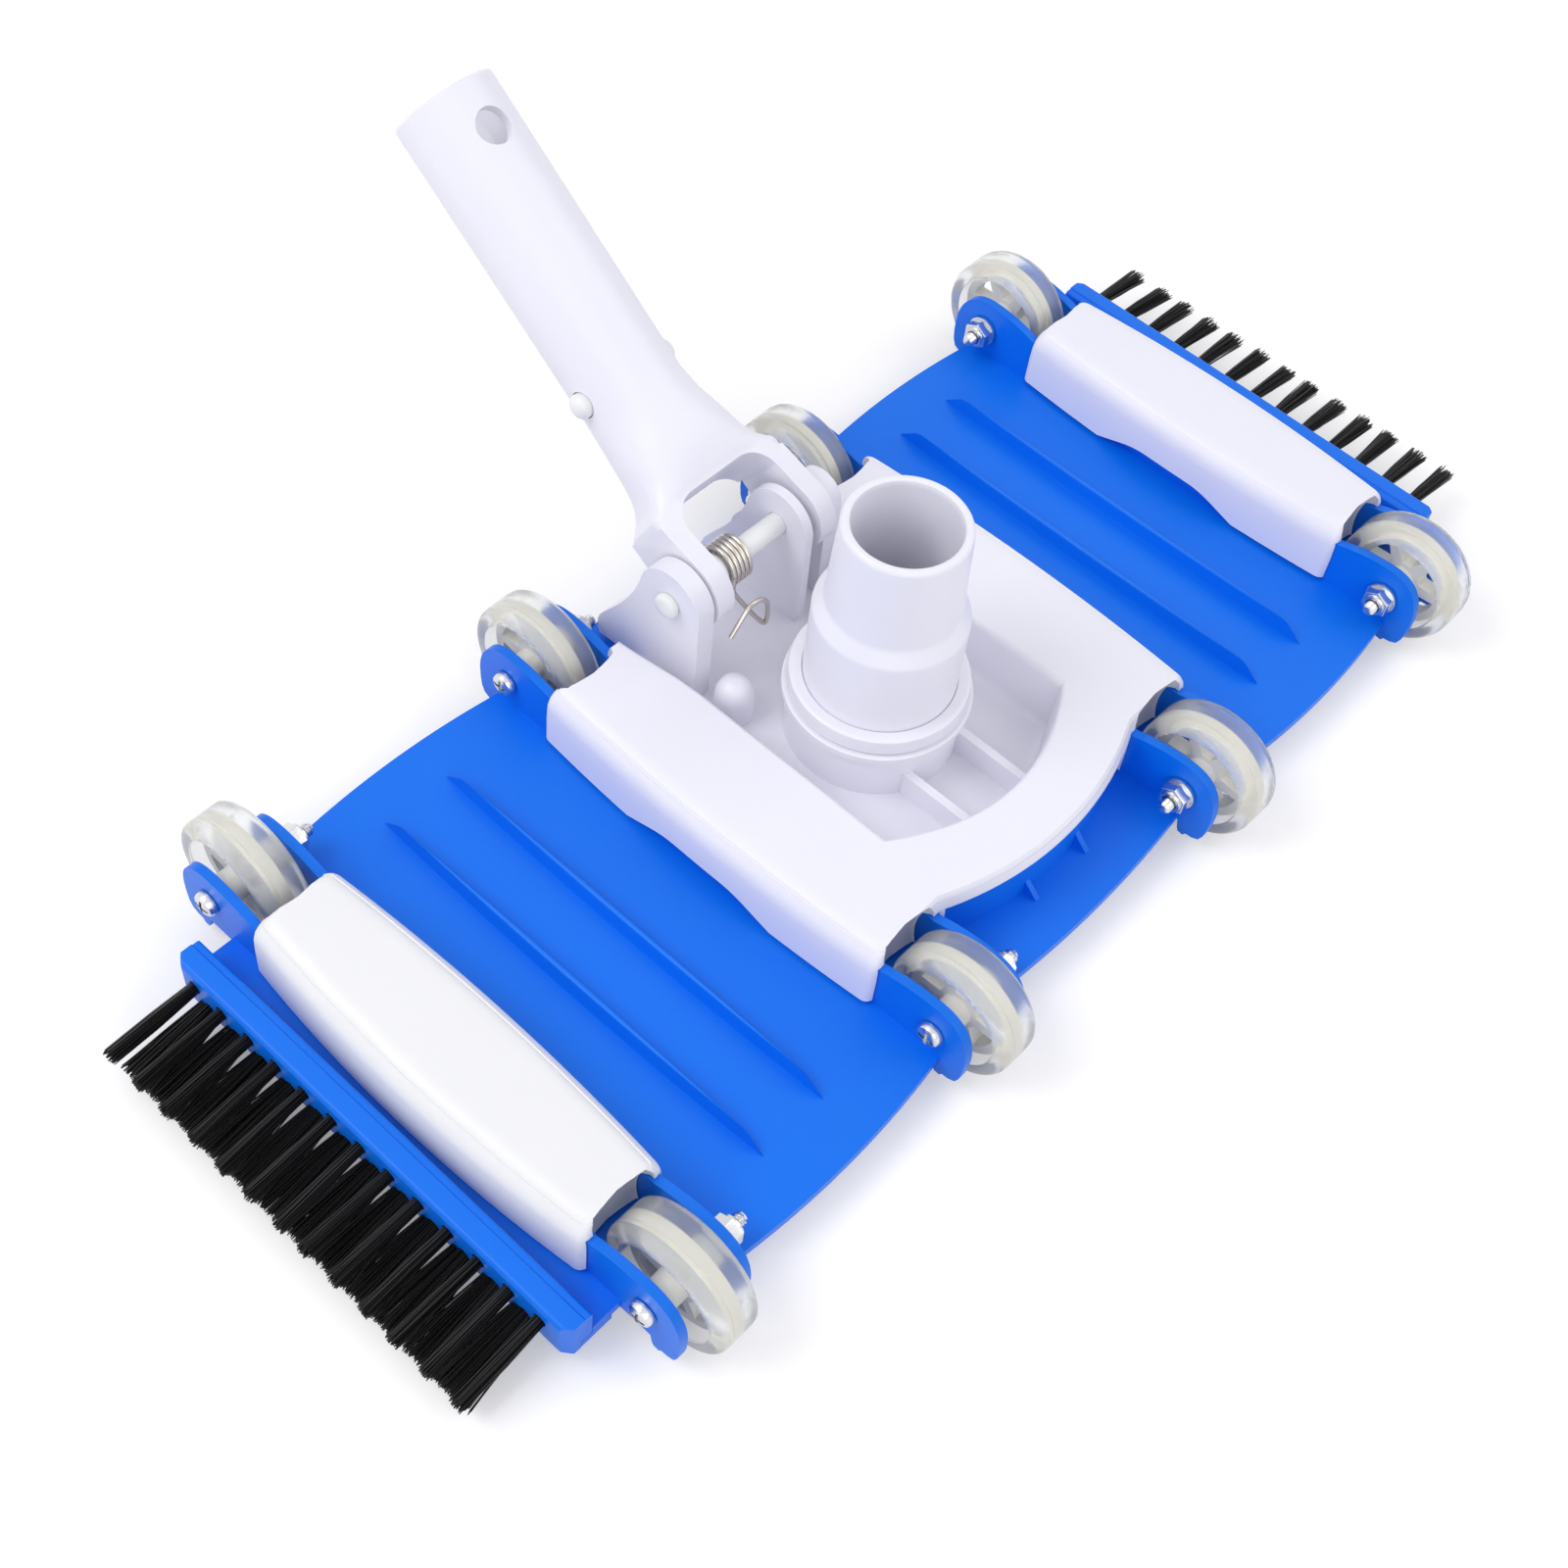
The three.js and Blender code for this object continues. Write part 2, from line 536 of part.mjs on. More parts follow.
// The dished pan: straight sides, a curved front, and sides that open out towards the back.
function panRecess() {
  const ring = (x, frontY, z) => {
    const flare = [[30, 0], [38, 0.6], [45, 1.5], [51, 2.3], [56, 2.8], [76, 4]];
    const right = [[x, -34], ...flare.map(([y, grow]) => [x + grow, y])];
    const left = right.map(([u, v]) => [-u, v]).reverse();
    const front = Array.from({ length: 7 }, (_, i) => {
      const u = -x + (2 * x * (i + 1)) / 8;
      return [u, frontY + (-34 - frontY) * (u / x) ** 2];
    });
    return [...right, ...left, ...front].map(([u, v]) => new THREE.Vector3(u, v, z));
  };
  return lofted([ring(33.6, -43.6, PAN_FLOOR), ring(35.2, -45.6, 29.6),
    ring(36.6, -47, COVER_TOP + 0.05), ring(36.6, -47, COVER_TOP + 2)]);
}

function panFloor() {
  const reach = Math.asin(38.2 / PAN_BACK_RADIUS) * THREE.MathUtils.RAD2DEG;
  const back = arc(0, -0.6, PAN_BACK_RADIUS, 90 - reach, 90 + reach, 12);
  return alongZ(outline([[-38.2, 30], [38.2, 30], ...back]), PAN_UNDERSIDE, PAN_FLOOR);
}

function panBlock() {
  const front = Array.from({ length: 9 }, (_, i) => {
    const u = -38.2 + (76.4 * i) / 8;
    return [u, -49 + 11.5 * (u / 38.2) ** 2];
  });
  return alongZ(outline([...front, [38.2, 48], [-38.2, 48]]), PAN_UNDERSIDE, COVER_CEILING + 0.5);
}

// Space under the front edge of the cover, high behind the blue wall and low over it.
function frontHollow() {
  const reach = Math.asin(38 / FRONT_ARC_RADIUS) * THREE.MathUtils.RAD2DEG;
  const inside = arc(0, FRONT_ARC_CENTRE_Y, FRONT_ARC_RADIUS - 4.4, 270 - reach, 270 + reach, 12);
  const high = alongZ(outline([...inside, [38, 70], [-38, 70]]), 5, COVER_CEILING);
  const low = box([-38, 38], [-70, -30], [5, FRONT_WALL_TOP + SEAT_GAP]);
  return [high, low];
}

// Clevis ear: round top about the pivot, upright front edge, and a hollow back edge to its tail.
function ear([inside, outside], side) {
  const crown = arc(PIVOT_Y + 0.2, PIVOT_Z, EAR_TOP_RADIUS, 180, 0, 9);
  const waistTop = new THREE.Vector2(PIVOT_Y + 11.4, PIVOT_Z - 3);
  const waistFoot = new THREE.Vector2(72.4, 21.6);
  const waist = new THREE.QuadraticBezierCurve(waistTop, new THREE.Vector2(61.5, 31), waistFoot);
  const back = waist.getPoints(5).map((point) => point.toArray());
  const tail = [[73.8, 17.5], [72.6, PAN_UNDERSIDE + 0.6], [60, PAN_FLOOR - 0.8]];
  const profile = [[EAR_FRONT_Y, PAN_FLOOR - 0.8], ...crown, ...back, ...tail];
  const plate = alongX(outline(profile), ...span(side * inside, side * outside));
  return plate.subtract(rodX(PIN_RADIUS + SEAT_GAP, -40, 40, 12, PIVOT_Y, PIVOT_Z));
}

function socket() {
  return turnedZ([[18.5, PAN_UNDERSIDE], [SOCKET_RADIUS, PAN_UNDERSIDE], [SOCKET_RADIUS, 28.4],
    [25.2, 29], [25.2, SOCKET_TOP], [22.2, SOCKET_TOP], [22.2, SOCKET_SHOULDER], [18.5, SOCKET_SHOULDER],
    [18.5, PAN_UNDERSIDE]], 24);
}

function domedBoss(x) {
  return turnedZ([[0, PAN_FLOOR - 0.5], [5.5, PAN_FLOOR - 0.5], [5.4, 22.5], [4.4, 25.4], [2.4, 26.8],
    [0, 27.1]], 14, x, 28.1);
}

const panRib = (x) => box([x - 1.2, x + 1.2], [-46.2, -20.5], [PAN_FLOOR - 0.5, 22]);

function centreCover() {
  const inner = RAIL_CENTRES.slice(1, 3);
  const cavities = inner.flatMap(railCavities);
  const hollow = cutBy(centreCoverShell(), [...frontHollow(), ...cavities]);
  const dished = joined([hollow, panBlock(), panFloor()]).subtract(panRecess());
  const panFeatures = [domedBoss(-23.8), domedBoss(23.8), panRib(-10.5), panRib(10.5)];
  const features = [...inner.flatMap(screwBosses), ...panFeatures];
  const ears = [-1, 1].flatMap((side) => [ear(OUTER_EAR, side), ear(INNER_EAR, side)]);
  const throat = rodZ(20.5, 5, 40, 24);
  const body = joined([joined([dished, ...features]).subtract(throat), socket(), ...ears]);
  const scoops = inner.flatMap((centre) => [-WHEEL_Y, WHEEL_Y].map((y) => wheelScoop(centre, y)));
  const wallX = RAIL_CENTRES[2] + RAIL_OUTER_HALF;
  const arches = [wallArch(-75, -wallX), wallArch(wallX, 75)];
  return cutBy(body, [...scoops, ...inner.flatMap(screwPilots), ...arches]);
}

// ---- what the covers hold ------------------------------------------------------------------

function ballastBar(centre) {
  const half = RAIL_INNER_HALF - 0.8;
  return alongY(outline([[centre - half, 11, 1.5], [centre + half, 11, 1.5], [centre + half, 27, 1.5],
    [centre - half, 27, 1.5]], 2), -38, 38);
}

// Pan-head screw from below, through the plate into a cover's boss.
function coverScrew(x, y) {
  return turnedZ([[0, 5.4], [2.6, 5.4], [3.2, PLATE_BOTTOM - SEAT_GAP], [1.5, PLATE_BOTTOM - SEAT_GAP],
    [1.5, 20], [0, 21]], 8, x, y);
}

// ---- wheels and axles ----------------------------------------------------------------------

// Spoked core: a hub, six spokes with three-cornered openings between them, and a rim.
function wheelCore(centre, y) {
  const flat = (corners) => corners.map(([u, v]) => new THREE.Vector2(u, v));
  const rim = new THREE.Shape(flat(arc(0, 0, RIM_RADIUS - SEAT_GAP, 10, 350, WHEEL_SIDES - 1)));
  for (let turn = 30; turn < 360; turn += 60) {
    const outer = arc(0, 0, 11.3, turn - 21, turn + 21, 1);
    const [inner] = arc(0, 0, 5.6, turn, turn, 1);
    rim.holes.push(new THREE.Path(flat([...outer, inner])));
  }
  const half = WHEEL_WIDTH / 2 - 1.6;
  const disc = alongX(rim, -half, half);
  const hubHalf = RAIL_INNER_HALF - SEAT_GAP;
  const hub = rodX(4.4, -hubHalf, hubHalf, 8);
  const bore = rodX(AXLE_RADIUS + 0.5, -9, 9, 8);
  return disc.add(hub).subtract(bore).translate([centre, y, WHEEL_RADIUS]);
}

function wheelTyre(centre, y) {
  const half = WHEEL_WIDTH / 2;
  const profile = [[RIM_RADIUS, -half + 0.4], [16.6, -half], [WHEEL_RADIUS, -half + 2.2],
    [WHEEL_RADIUS, half - 2.2], [16.6, half], [RIM_RADIUS, half - 0.4], [RIM_RADIUS, -half + 0.4]];
  return turnedX(profile, WHEEL_SIDES).translate([centre, y, WHEEL_RADIUS]);
}

// The screw's head is on the side away from the middle of the head, the nut on the other side.
function axleScrew(centre, y) {
  const out = Math.sign(centre);
  const seat = RAIL_OUTER_HALF + SEAT_GAP;
  const profile = [[0, seat + 2.3], [2.2, seat + 2.1], [3.5, seat], [AXLE_RADIUS, seat],
    [AXLE_RADIUS, -seat - 8.2], [0, -seat - 8.7]].map(([r, x]) => [r, out * x]);
  return turnedX(profile, 8).translate([centre, y, WHEEL_RADIUS]);
}

function axleNut(centre, y) {
  const out = -Math.sign(centre);
  const seat = RAIL_OUTER_HALF + SEAT_GAP;
  const flats = outline(arc(0, 0, 4.2, 30, 330, 5));
  const washer = rodX(4.5, ...span(out * seat, out * (seat + 1.1)), 10);
  const nut = alongX(flats, ...span(out * (seat + 1), out * (seat + 5.2)));
  const bore = rodX(AXLE_RADIUS + SEAT_GAP, -30, 30, 8);
  return washer.add(nut).subtract(bore).translate([centre, y, WHEEL_RADIUS]);
}

// ---- hose connector ------------------------------------------------------------------------

function hoseConnector() {
  const shoulder = SOCKET_SHOULDER + SEAT_GAP;
  const foot = [[15.6, 13], [17.9, 13], [17.9, shoulder], [21.6, shoulder], [21.6, 27.4], [20.3, 27.6]];
  const steps = [[20.3, 61.2], [17.6, 65.6], [16.4, 91]];
  const rim = [[15.8, CONNECTOR_TOP], [14.4, CONNECTOR_TOP]];
  const bore = [[CONNECTOR_BORE, 91], [CONNECTOR_BORE, 59.5], [15.6, 58.5], [15.6, 13]];
  return turnedZ([...foot, ...steps, ...rim, ...bore], 24);
}

function swivelRing() {
  const inner = 20.7;
  const lip = SOCKET_TOP + SEAT_GAP;
  return turnedZ([[inner, 27.8], [21.9, 27.8], [21.9, lip], [24, lip], [24, RING_TOP - 0.8],
    [23.2, RING_TOP], [inner, RING_TOP], [inner, 27.8]], 24);
}

// ---- handle --------------------------------------------------------------------------------

// The handle is drawn along -Y from its open end at the origin, then tilted and moved into place.
const tilted = (body) => {
  const turn = new THREE.Matrix4().makeRotationX(HANDLE_TILT).setPosition(HANDLE_END);
  return body.transform(turn.elements);
};

// Sections of tube and flare: reach, half width, half height, height of centre, squareness, and
// how far the section leans towards the tube's end for each millimetre up.
const HANDLE_SECTIONS = [
  [0, 14.0, 14.0, 0, 2, 0],
  [0.6, TUBE_RADIUS, TUBE_RADIUS, 0, 2, 0],
  [88, TUBE_RADIUS, TUBE_RADIUS, 0, 2, 0],
  [95, 15.4, 14.1, 0.9, 2.1, 0.04],
  [101, 16.5, 13.2, 2.3, 2.3, 0.08],
  [106.5, 17.4, 12.2, 3.4, 2.6, 0.12],
  [111, 18.3, 11.1, 3.8, 3.2, 0.16],
  [114.4, 19.8, 10.2, 3.8, 4.5, 0.16],
  [116.6, 21.6, 9.5, 3.8, 7, 0.16],
  [118, ARM_X[1], 9.3, 4.0, 10, 0.16],
  [124, ARM_X[1], 9.3, 4.9, 10, 0.16],
];

function handleSkin() {
  const sides = 24;
  const ring = ([reach, halfX, halfZ, rise, squareness, lean]) => Array.from({ length: sides }, (_, i) => {
    const turn = (2 * Math.PI * i) / sides;
    const bend = (value) => Math.sign(value) * Math.abs(value) ** (2 / squareness);
    const up = halfZ * bend(Math.sin(turn));
    return new THREE.Vector3(halfX * bend(Math.cos(turn)), -reach + lean * up, rise + up);
  });
  return lofted(HANDLE_SECTIONS.map(ring));
}

function handleArm(side) {
  const quarter = 90 - THREE.MathUtils.radToDeg(YOKE_TILT);
  const tip = arc(-PIVOT_REACH, PIVOT_RISE, ARM_END_RADIUS, quarter, quarter + 180, 9);
  return alongX(outline([[-119.5, -4.5], [-119, 13], ...tip]), ...span(side * ARM_X[0], side * ARM_X[1]));
}

// The window between the arms, square to them, with rounded corners at the cross bar.
function yokeWindow() {
  const half = ARM_X[0];
  const corners = [[-half, -24], [half, -24], [half, WINDOW_TO_PIVOT, 8], [-half, WINDOW_TO_PIVOT, 8]];
  const place = new THREE.Matrix4().makeRotationX(-YOKE_TILT).setPosition(0, -PIVOT_REACH, PIVOT_RISE);
  return alongZ(outline(corners, 4), -40, 40).transform(place.elements);
}

function handle() {
  const beyond = box([-40, 40], [-160, -122.5], [-30, 40]);
  const body = joined([handleSkin().subtract(beyond), handleArm(-1), handleArm(1)]).subtract(yokeWindow());
  const bore = solid(new THREE.CylinderGeometry(TUBE_BORE, TUBE_BORE, 108, 20).translate(0, -52, 0));
  const hangHole = rodZ(5, -20, 20, 14, 0, -HANG_HOLE_REACH);
  const buttonHole = rodX(BUTTON_RADIUS + SEAT_GAP, -20, 20, 12, -BUTTON_REACH, 0);
  const pivotHole = rodX(PIN_RADIUS + 0.4, -40, 40, 12, -PIVOT_REACH, PIVOT_RISE);
  return tilted(cutBy(body, [bore, hangHole, buttonHole, pivotHole]));
}

function lockingButton(side) {
  const foot = [[0, 9.3], [4.6, 9.3], [4.6, 10.2], [BUTTON_RADIUS, 10.3]];
  const dome = [[BUTTON_RADIUS, 15.8], [2.6, 17.0], [1.3, 17.5], [0, 17.6]];
  const profile = [...foot, ...dome];
  return tilted(turnedX(profile.map(([r, x]) => [r, side * x]), 12, -BUTTON_REACH, 0));
}

// Bent strip inside the tube that pushes both buttons out.
function clipSpring() {
  const half = [[9, -76], [9, -88], [3.4, -103.5], [0, -106]];
  const inner = [[0, -105], [2.8, -102.9], [8.2, -87.8], [8.2, -76]];
  const outer = half.slice(0, 3).map(([x, y]) => [-x, y]);
  const corners = [...half, ...outer.reverse(), [-8.2, -76], [-8.2, -87.8], [-2.8, -102.9], ...inner];
  return tilted(alongZ(outline(corners), -2.8, 2.8));
}

// Nylon pin with a domed head formed outside each outer ear.
function pivotPin() {
  const foot = OUTER_EAR[1] + SEAT_GAP;
  const head = [[3.7, foot], [3.7, foot + 1.6], [2.6, foot + 2.8], [0, foot + 3.3]];
  const left = head.map(([r, x]) => [r, -x]).reverse();
  return turnedX([...left, [PIN_RADIUS, -foot], [PIN_RADIUS, foot], ...head], 12, PIVOT_Y, PIVOT_Z);
}

// Torsion spring round the pin: a close coil with one leg bent to a hook that bears on the inner
// ear's front edge, and the other leg under the yoke's cross bar.
function torsionSpringPath() {
  const count = SPRING_TURNS * SPRING_STEPS;
  const coil = Array.from({ length: count + 1 }, (_, i) => {
    const turn = Math.PI + (2 * Math.PI * i) / SPRING_STEPS;
    return [SPRING_START_X + (SPRING_PITCH * i) / SPRING_STEPS,
      PIVOT_Y + SPRING_RADIUS * Math.cos(turn), PIVOT_Z + SPRING_RADIUS * Math.sin(turn)];
  });
  const hookTip = [[-17.6, 36.2, 32.4], [-11, 36.3, 34.2], [-4.6, 36.6, 35.6], [-3.7, 36.7, 35.1]];
  const hookBend = [[-4.2, 36.4, 28.6], [-4.8, 36.6, 27.3], [-6, 37.4, 28.6], [-10.6, 41, 38.6]];
  const leg = [[-5.5, 56.5, 42.2], [-11, 61.5, 42.7], [-14.6, 65, 43.4], [-14.8, 72, 45.2]];
  return [...hookTip, ...hookBend, ...coil, ...leg].map((point) => new THREE.Vector3(...point));
}

// Least distance between stretches of the wire that are not neighbours along it, less its thickness.
function leastWireGap(points, radius) {
  const dense = new THREE.CurvePath();
  points.slice(1).forEach((point, i) => dense.add(new THREE.LineCurve3(points[i], point)));
  const spots = dense.getSpacedPoints(900);
  const step = dense.getLength() / 900;
  const apart = Math.ceil(8 / step);
  let least = Infinity;
  spots.forEach((spot, i) => {
    for (let k = i + apart; k < spots.length; k += 1) least = Math.min(least, spot.distanceTo(spots[k]));
  });
  return least - 2 * radius;
}

function torsionSpring() {
  const path = torsionSpringPath();
  const gap = leastWireGap(path, SPRING_WIRE_RADIUS);
  console.log(`torsion spring: least gap between turns ${gap.toFixed(2)} mm`);
  return wire(path, path.map(() => SPRING_WIRE_RADIUS), 5);
}

// ---- assembly ------------------------------------------------------------------------------

const head = new THREE.Group();
const sides = { left: -1, right: 1 };

head.add(meshOf('base_plate', basePlate(), blue()));
for (const [name, side] of Object.entries(sides)) {
  head.add(meshOf(`brush_bar_${name}`, brushBar(side), blue()));
  head.add(meshOf(`bristles_${name}`, bristles(side), bristle()));
  head.add(meshOf(`end_cover_${name}`, endCover(side), white()));
  head.add(meshOf(`clip_button_${name}`, lockingButton(side), nylon()));
}
head.add(meshOf('centre_cover', centreCover(), white()));
head.add(meshOf('hose_connector', hoseConnector(), white()));
head.add(meshOf('swivel_ring', swivelRing(), nylon()));
head.add(meshOf('handle', handle(), white()));
head.add(meshOf('pivot_pin', pivotPin(), nylon()));
head.add(meshOf('torsion_spring', torsionSpring(), steel()));
head.add(meshOf('clip_spring', clipSpring(), steel()));

const railNames = ['outer_left', 'inner_left', 'inner_right', 'outer_right'];
RAIL_CENTRES.forEach((centre, i) => {
  head.add(meshOf(`ballast_${railNames[i]}`, ballastBar(centre), ballast()));
  for (const [end, direction] of [['front', -1], ['back', 1]]) {
    const place = `${end}_${railNames[i]}`;
    const y = direction * WHEEL_Y;
    head.add(meshOf(`wheel_core_${place}`, wheelCore(centre, y), ivory()));
    head.add(meshOf(`wheel_tyre_${place}`, wheelTyre(centre, y), clearTyre()));
    head.add(meshOf(`axle_screw_${place}`, axleScrew(centre, y), steel()));
    head.add(meshOf(`axle_nut_${place}`, axleNut(centre, y), steel()));
    head.add(meshOf(`cover_screw_${place}`, coverScrew(centre, direction * SCREW_Y), steel()));
  }
});

// The outline runs from the front wheels to the upper edge of the handle's open end.
const FRONT_LIMIT = -(WHEEL_Y + WHEEL_RADIUS);
const backLimit = Math.max(...head.getObjectByName('handle').geometry.getAttribute('position').array
  .filter((_, i) => i % 3 === 1));
head.position.y = -(FRONT_LIMIT + backLimit) / 2;

export default head;
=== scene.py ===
"""A manual pool vacuum head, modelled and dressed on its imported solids.

Every sub-assembly is a class with its sizes in millimetres about the hose connector's axis, with the
floor at zero height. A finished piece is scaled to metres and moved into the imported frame.
"""

from __future__ import annotations

import json
import logging
import math
import random
from collections.abc import Iterable, Sequence
from dataclasses import dataclass, field
from enum import Enum

import bmesh
import bpy
from mathutils import Matrix, Vector

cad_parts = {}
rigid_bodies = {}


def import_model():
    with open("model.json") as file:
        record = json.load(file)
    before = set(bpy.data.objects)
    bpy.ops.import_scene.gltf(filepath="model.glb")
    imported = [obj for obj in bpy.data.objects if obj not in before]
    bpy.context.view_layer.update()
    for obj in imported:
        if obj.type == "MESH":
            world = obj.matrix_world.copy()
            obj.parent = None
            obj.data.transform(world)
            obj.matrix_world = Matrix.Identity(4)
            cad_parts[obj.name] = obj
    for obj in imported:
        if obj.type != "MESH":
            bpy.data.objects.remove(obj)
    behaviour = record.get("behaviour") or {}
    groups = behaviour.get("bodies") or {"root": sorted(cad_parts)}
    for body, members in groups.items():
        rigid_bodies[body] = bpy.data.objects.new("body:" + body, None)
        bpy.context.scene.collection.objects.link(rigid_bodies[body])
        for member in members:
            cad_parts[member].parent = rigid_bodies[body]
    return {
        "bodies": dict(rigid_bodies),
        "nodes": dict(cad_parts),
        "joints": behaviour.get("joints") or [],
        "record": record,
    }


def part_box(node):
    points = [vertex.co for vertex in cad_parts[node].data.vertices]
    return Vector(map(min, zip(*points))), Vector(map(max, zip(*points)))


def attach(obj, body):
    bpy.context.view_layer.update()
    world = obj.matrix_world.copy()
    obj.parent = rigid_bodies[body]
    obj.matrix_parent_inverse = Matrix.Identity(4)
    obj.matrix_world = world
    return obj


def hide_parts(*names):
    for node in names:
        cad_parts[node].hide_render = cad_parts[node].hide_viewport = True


LOG = logging.getLogger("vacuum_head")
MM = 0.001
WHITE = (1.0, 1.0, 1.0, 1.0)
Point2 = tuple[float, float]
Point3 = tuple[float, float, float]


class Axis(Enum):
    """Direction a prism is extruded along or a profile is turned about."""

    X = 0
    Y = 1
    Z = 2

    def place(self, u: float, v: float, w: float) -> Point3:
        """Puts u and v on the two other axes, in X, Y, Z order, and w on this one."""
        return {Axis.X: (w, u, v), Axis.Y: (u, w, v), Axis.Z: (u, v, w)}[self]

    @property
    def vector(self) -> Vector:
        """The unit vector of this axis."""
        return Vector(self.place(0, 0, 1))


class Join(Enum):
    """How one blank is combined with others."""

    ADD = "UNION"
    CUT = "DIFFERENCE"


class Side(Enum):
    """Left or right half of the head, seen from its front."""

    LEFT = -1
    RIGHT = 1

    @property
    def label(self) -> str:
        """The side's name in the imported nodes."""
        return self.name.lower()


# ---- outlines --------------------------------------------------------------------------------


def arc(u: float, v: float, radius: float, start: float, end: float, steps: int) -> list[Point2]:
    """Points of an arc.

    Args:
        u: Centre's first coordinate.
        v: Centre's second coordinate.
        radius: Radius of the arc.
        start: First angle in degrees.
        end: Last angle in degrees.
        steps: Number of straight steps.

    Returns:
        The points from start to end.
    """
    angles = [math.radians(start + (end - start) * i / steps) for i in range(steps + 1)]
    return [(u + radius * math.cos(a), v + radius * math.sin(a)) for a in angles]


def rounded(corners: Sequence[Sequence[float]], steps: int = 6) -> list[Point2]:
    """Rounds the corners of an outline.

    Args:
        corners: Corners (u, v) or (u, v, radius) in order.
        steps: Straight steps in each rounding.

    Returns:
        The outline's points.
    """
    points: list[Point2] = []
    count = len(corners)
    for i, corner in enumerate(corners):
        here = Vector(corner[:2])
        radius = corner[2] if len(corner) > 2 else 0.0
        if not radius:
            points.append((here.x, here.y))
            continue
        back = (Vector(corners[i - 1][:2]) - here).normalized()
        ahead = (Vector(corners[(i + 1) % count][:2]) - here).normalized()
        half = math.acos(max(-1.0, min(1.0, back.dot(ahead)))) / 2
        middle = here + (back + ahead).normalized() * radius / math.sin(half)
        first = here + back * radius / math.tan(half) - middle
        last = here + ahead * radius / math.tan(half) - middle
        sweep = first.angle_signed(last)
        for step in range(steps + 1):
            turned = first.copy()
            turned.rotate(Matrix.Rotation(-sweep * step / steps, 2))
            points.append((middle.x + turned.x, middle.y + turned.y))
    return points


def pulled(start: Point2, pull: Point2, end: Point2, steps: int) -> list[Point2]:
    """Points of a curve that leaves its start towards a point and reaches its end from there.

    Args:
        start: First point.
        pull: The point that draws the curve.
        end: Last point.
        steps: Number of straight steps.

    Returns:
        The curve's points.
    """
    made = []
    for i in range(steps + 1):
        t = i / steps
        a, b, c = (1 - t) ** 2, 2 * t * (1 - t), t * t
        made.append((a * start[0] + b * pull[0] + c * end[0], a * start[1] + b * pull[1] + c * end[1]))
    return made


def between(rows: Sequence[Sequence[float]], parts: int) -> list[list[float]]:
    """Fills a table of sections in with a smooth curve through its rows.

    Args:
        rows: Rows of numbers, the first number rising.
        parts: New rows for each gap between two rows.

    Returns:
        The rows with the new ones between them.
    """
    made: list[list[float]] = []
    last = len(rows) - 1
    for i in range(last):
        before, start, end, after = rows[max(i - 1, 0)], rows[i], rows[i + 1], rows[min(i + 2, last)]
        for part in range(parts):
            t = part / parts
            row = [start[0] + (end[0] - start[0]) * t]
            for k in range(1, len(start)):
                gap = end[0] - start[0]
                rise_in = (end[k] - before[k]) / max(end[0] - before[0], 1e-6) * gap
                rise_out = (after[k] - start[k]) / max(after[0] - start[0], 1e-6) * gap
                low, high = start[k], end[k]
                row.append(
                    (2 * t**3 - 3 * t**2 + 1) * low
                    + (t**3 - 2 * t**2 + t) * rise_in
                    + (3 * t**2 - 2 * t**3) * high
                    + (t**3 - t**2) * rise_out
                )
            made.append(row)
    made.append(list(rows[-1]))
    return made


# ---- blanks ----------------------------------------------------------------------------------


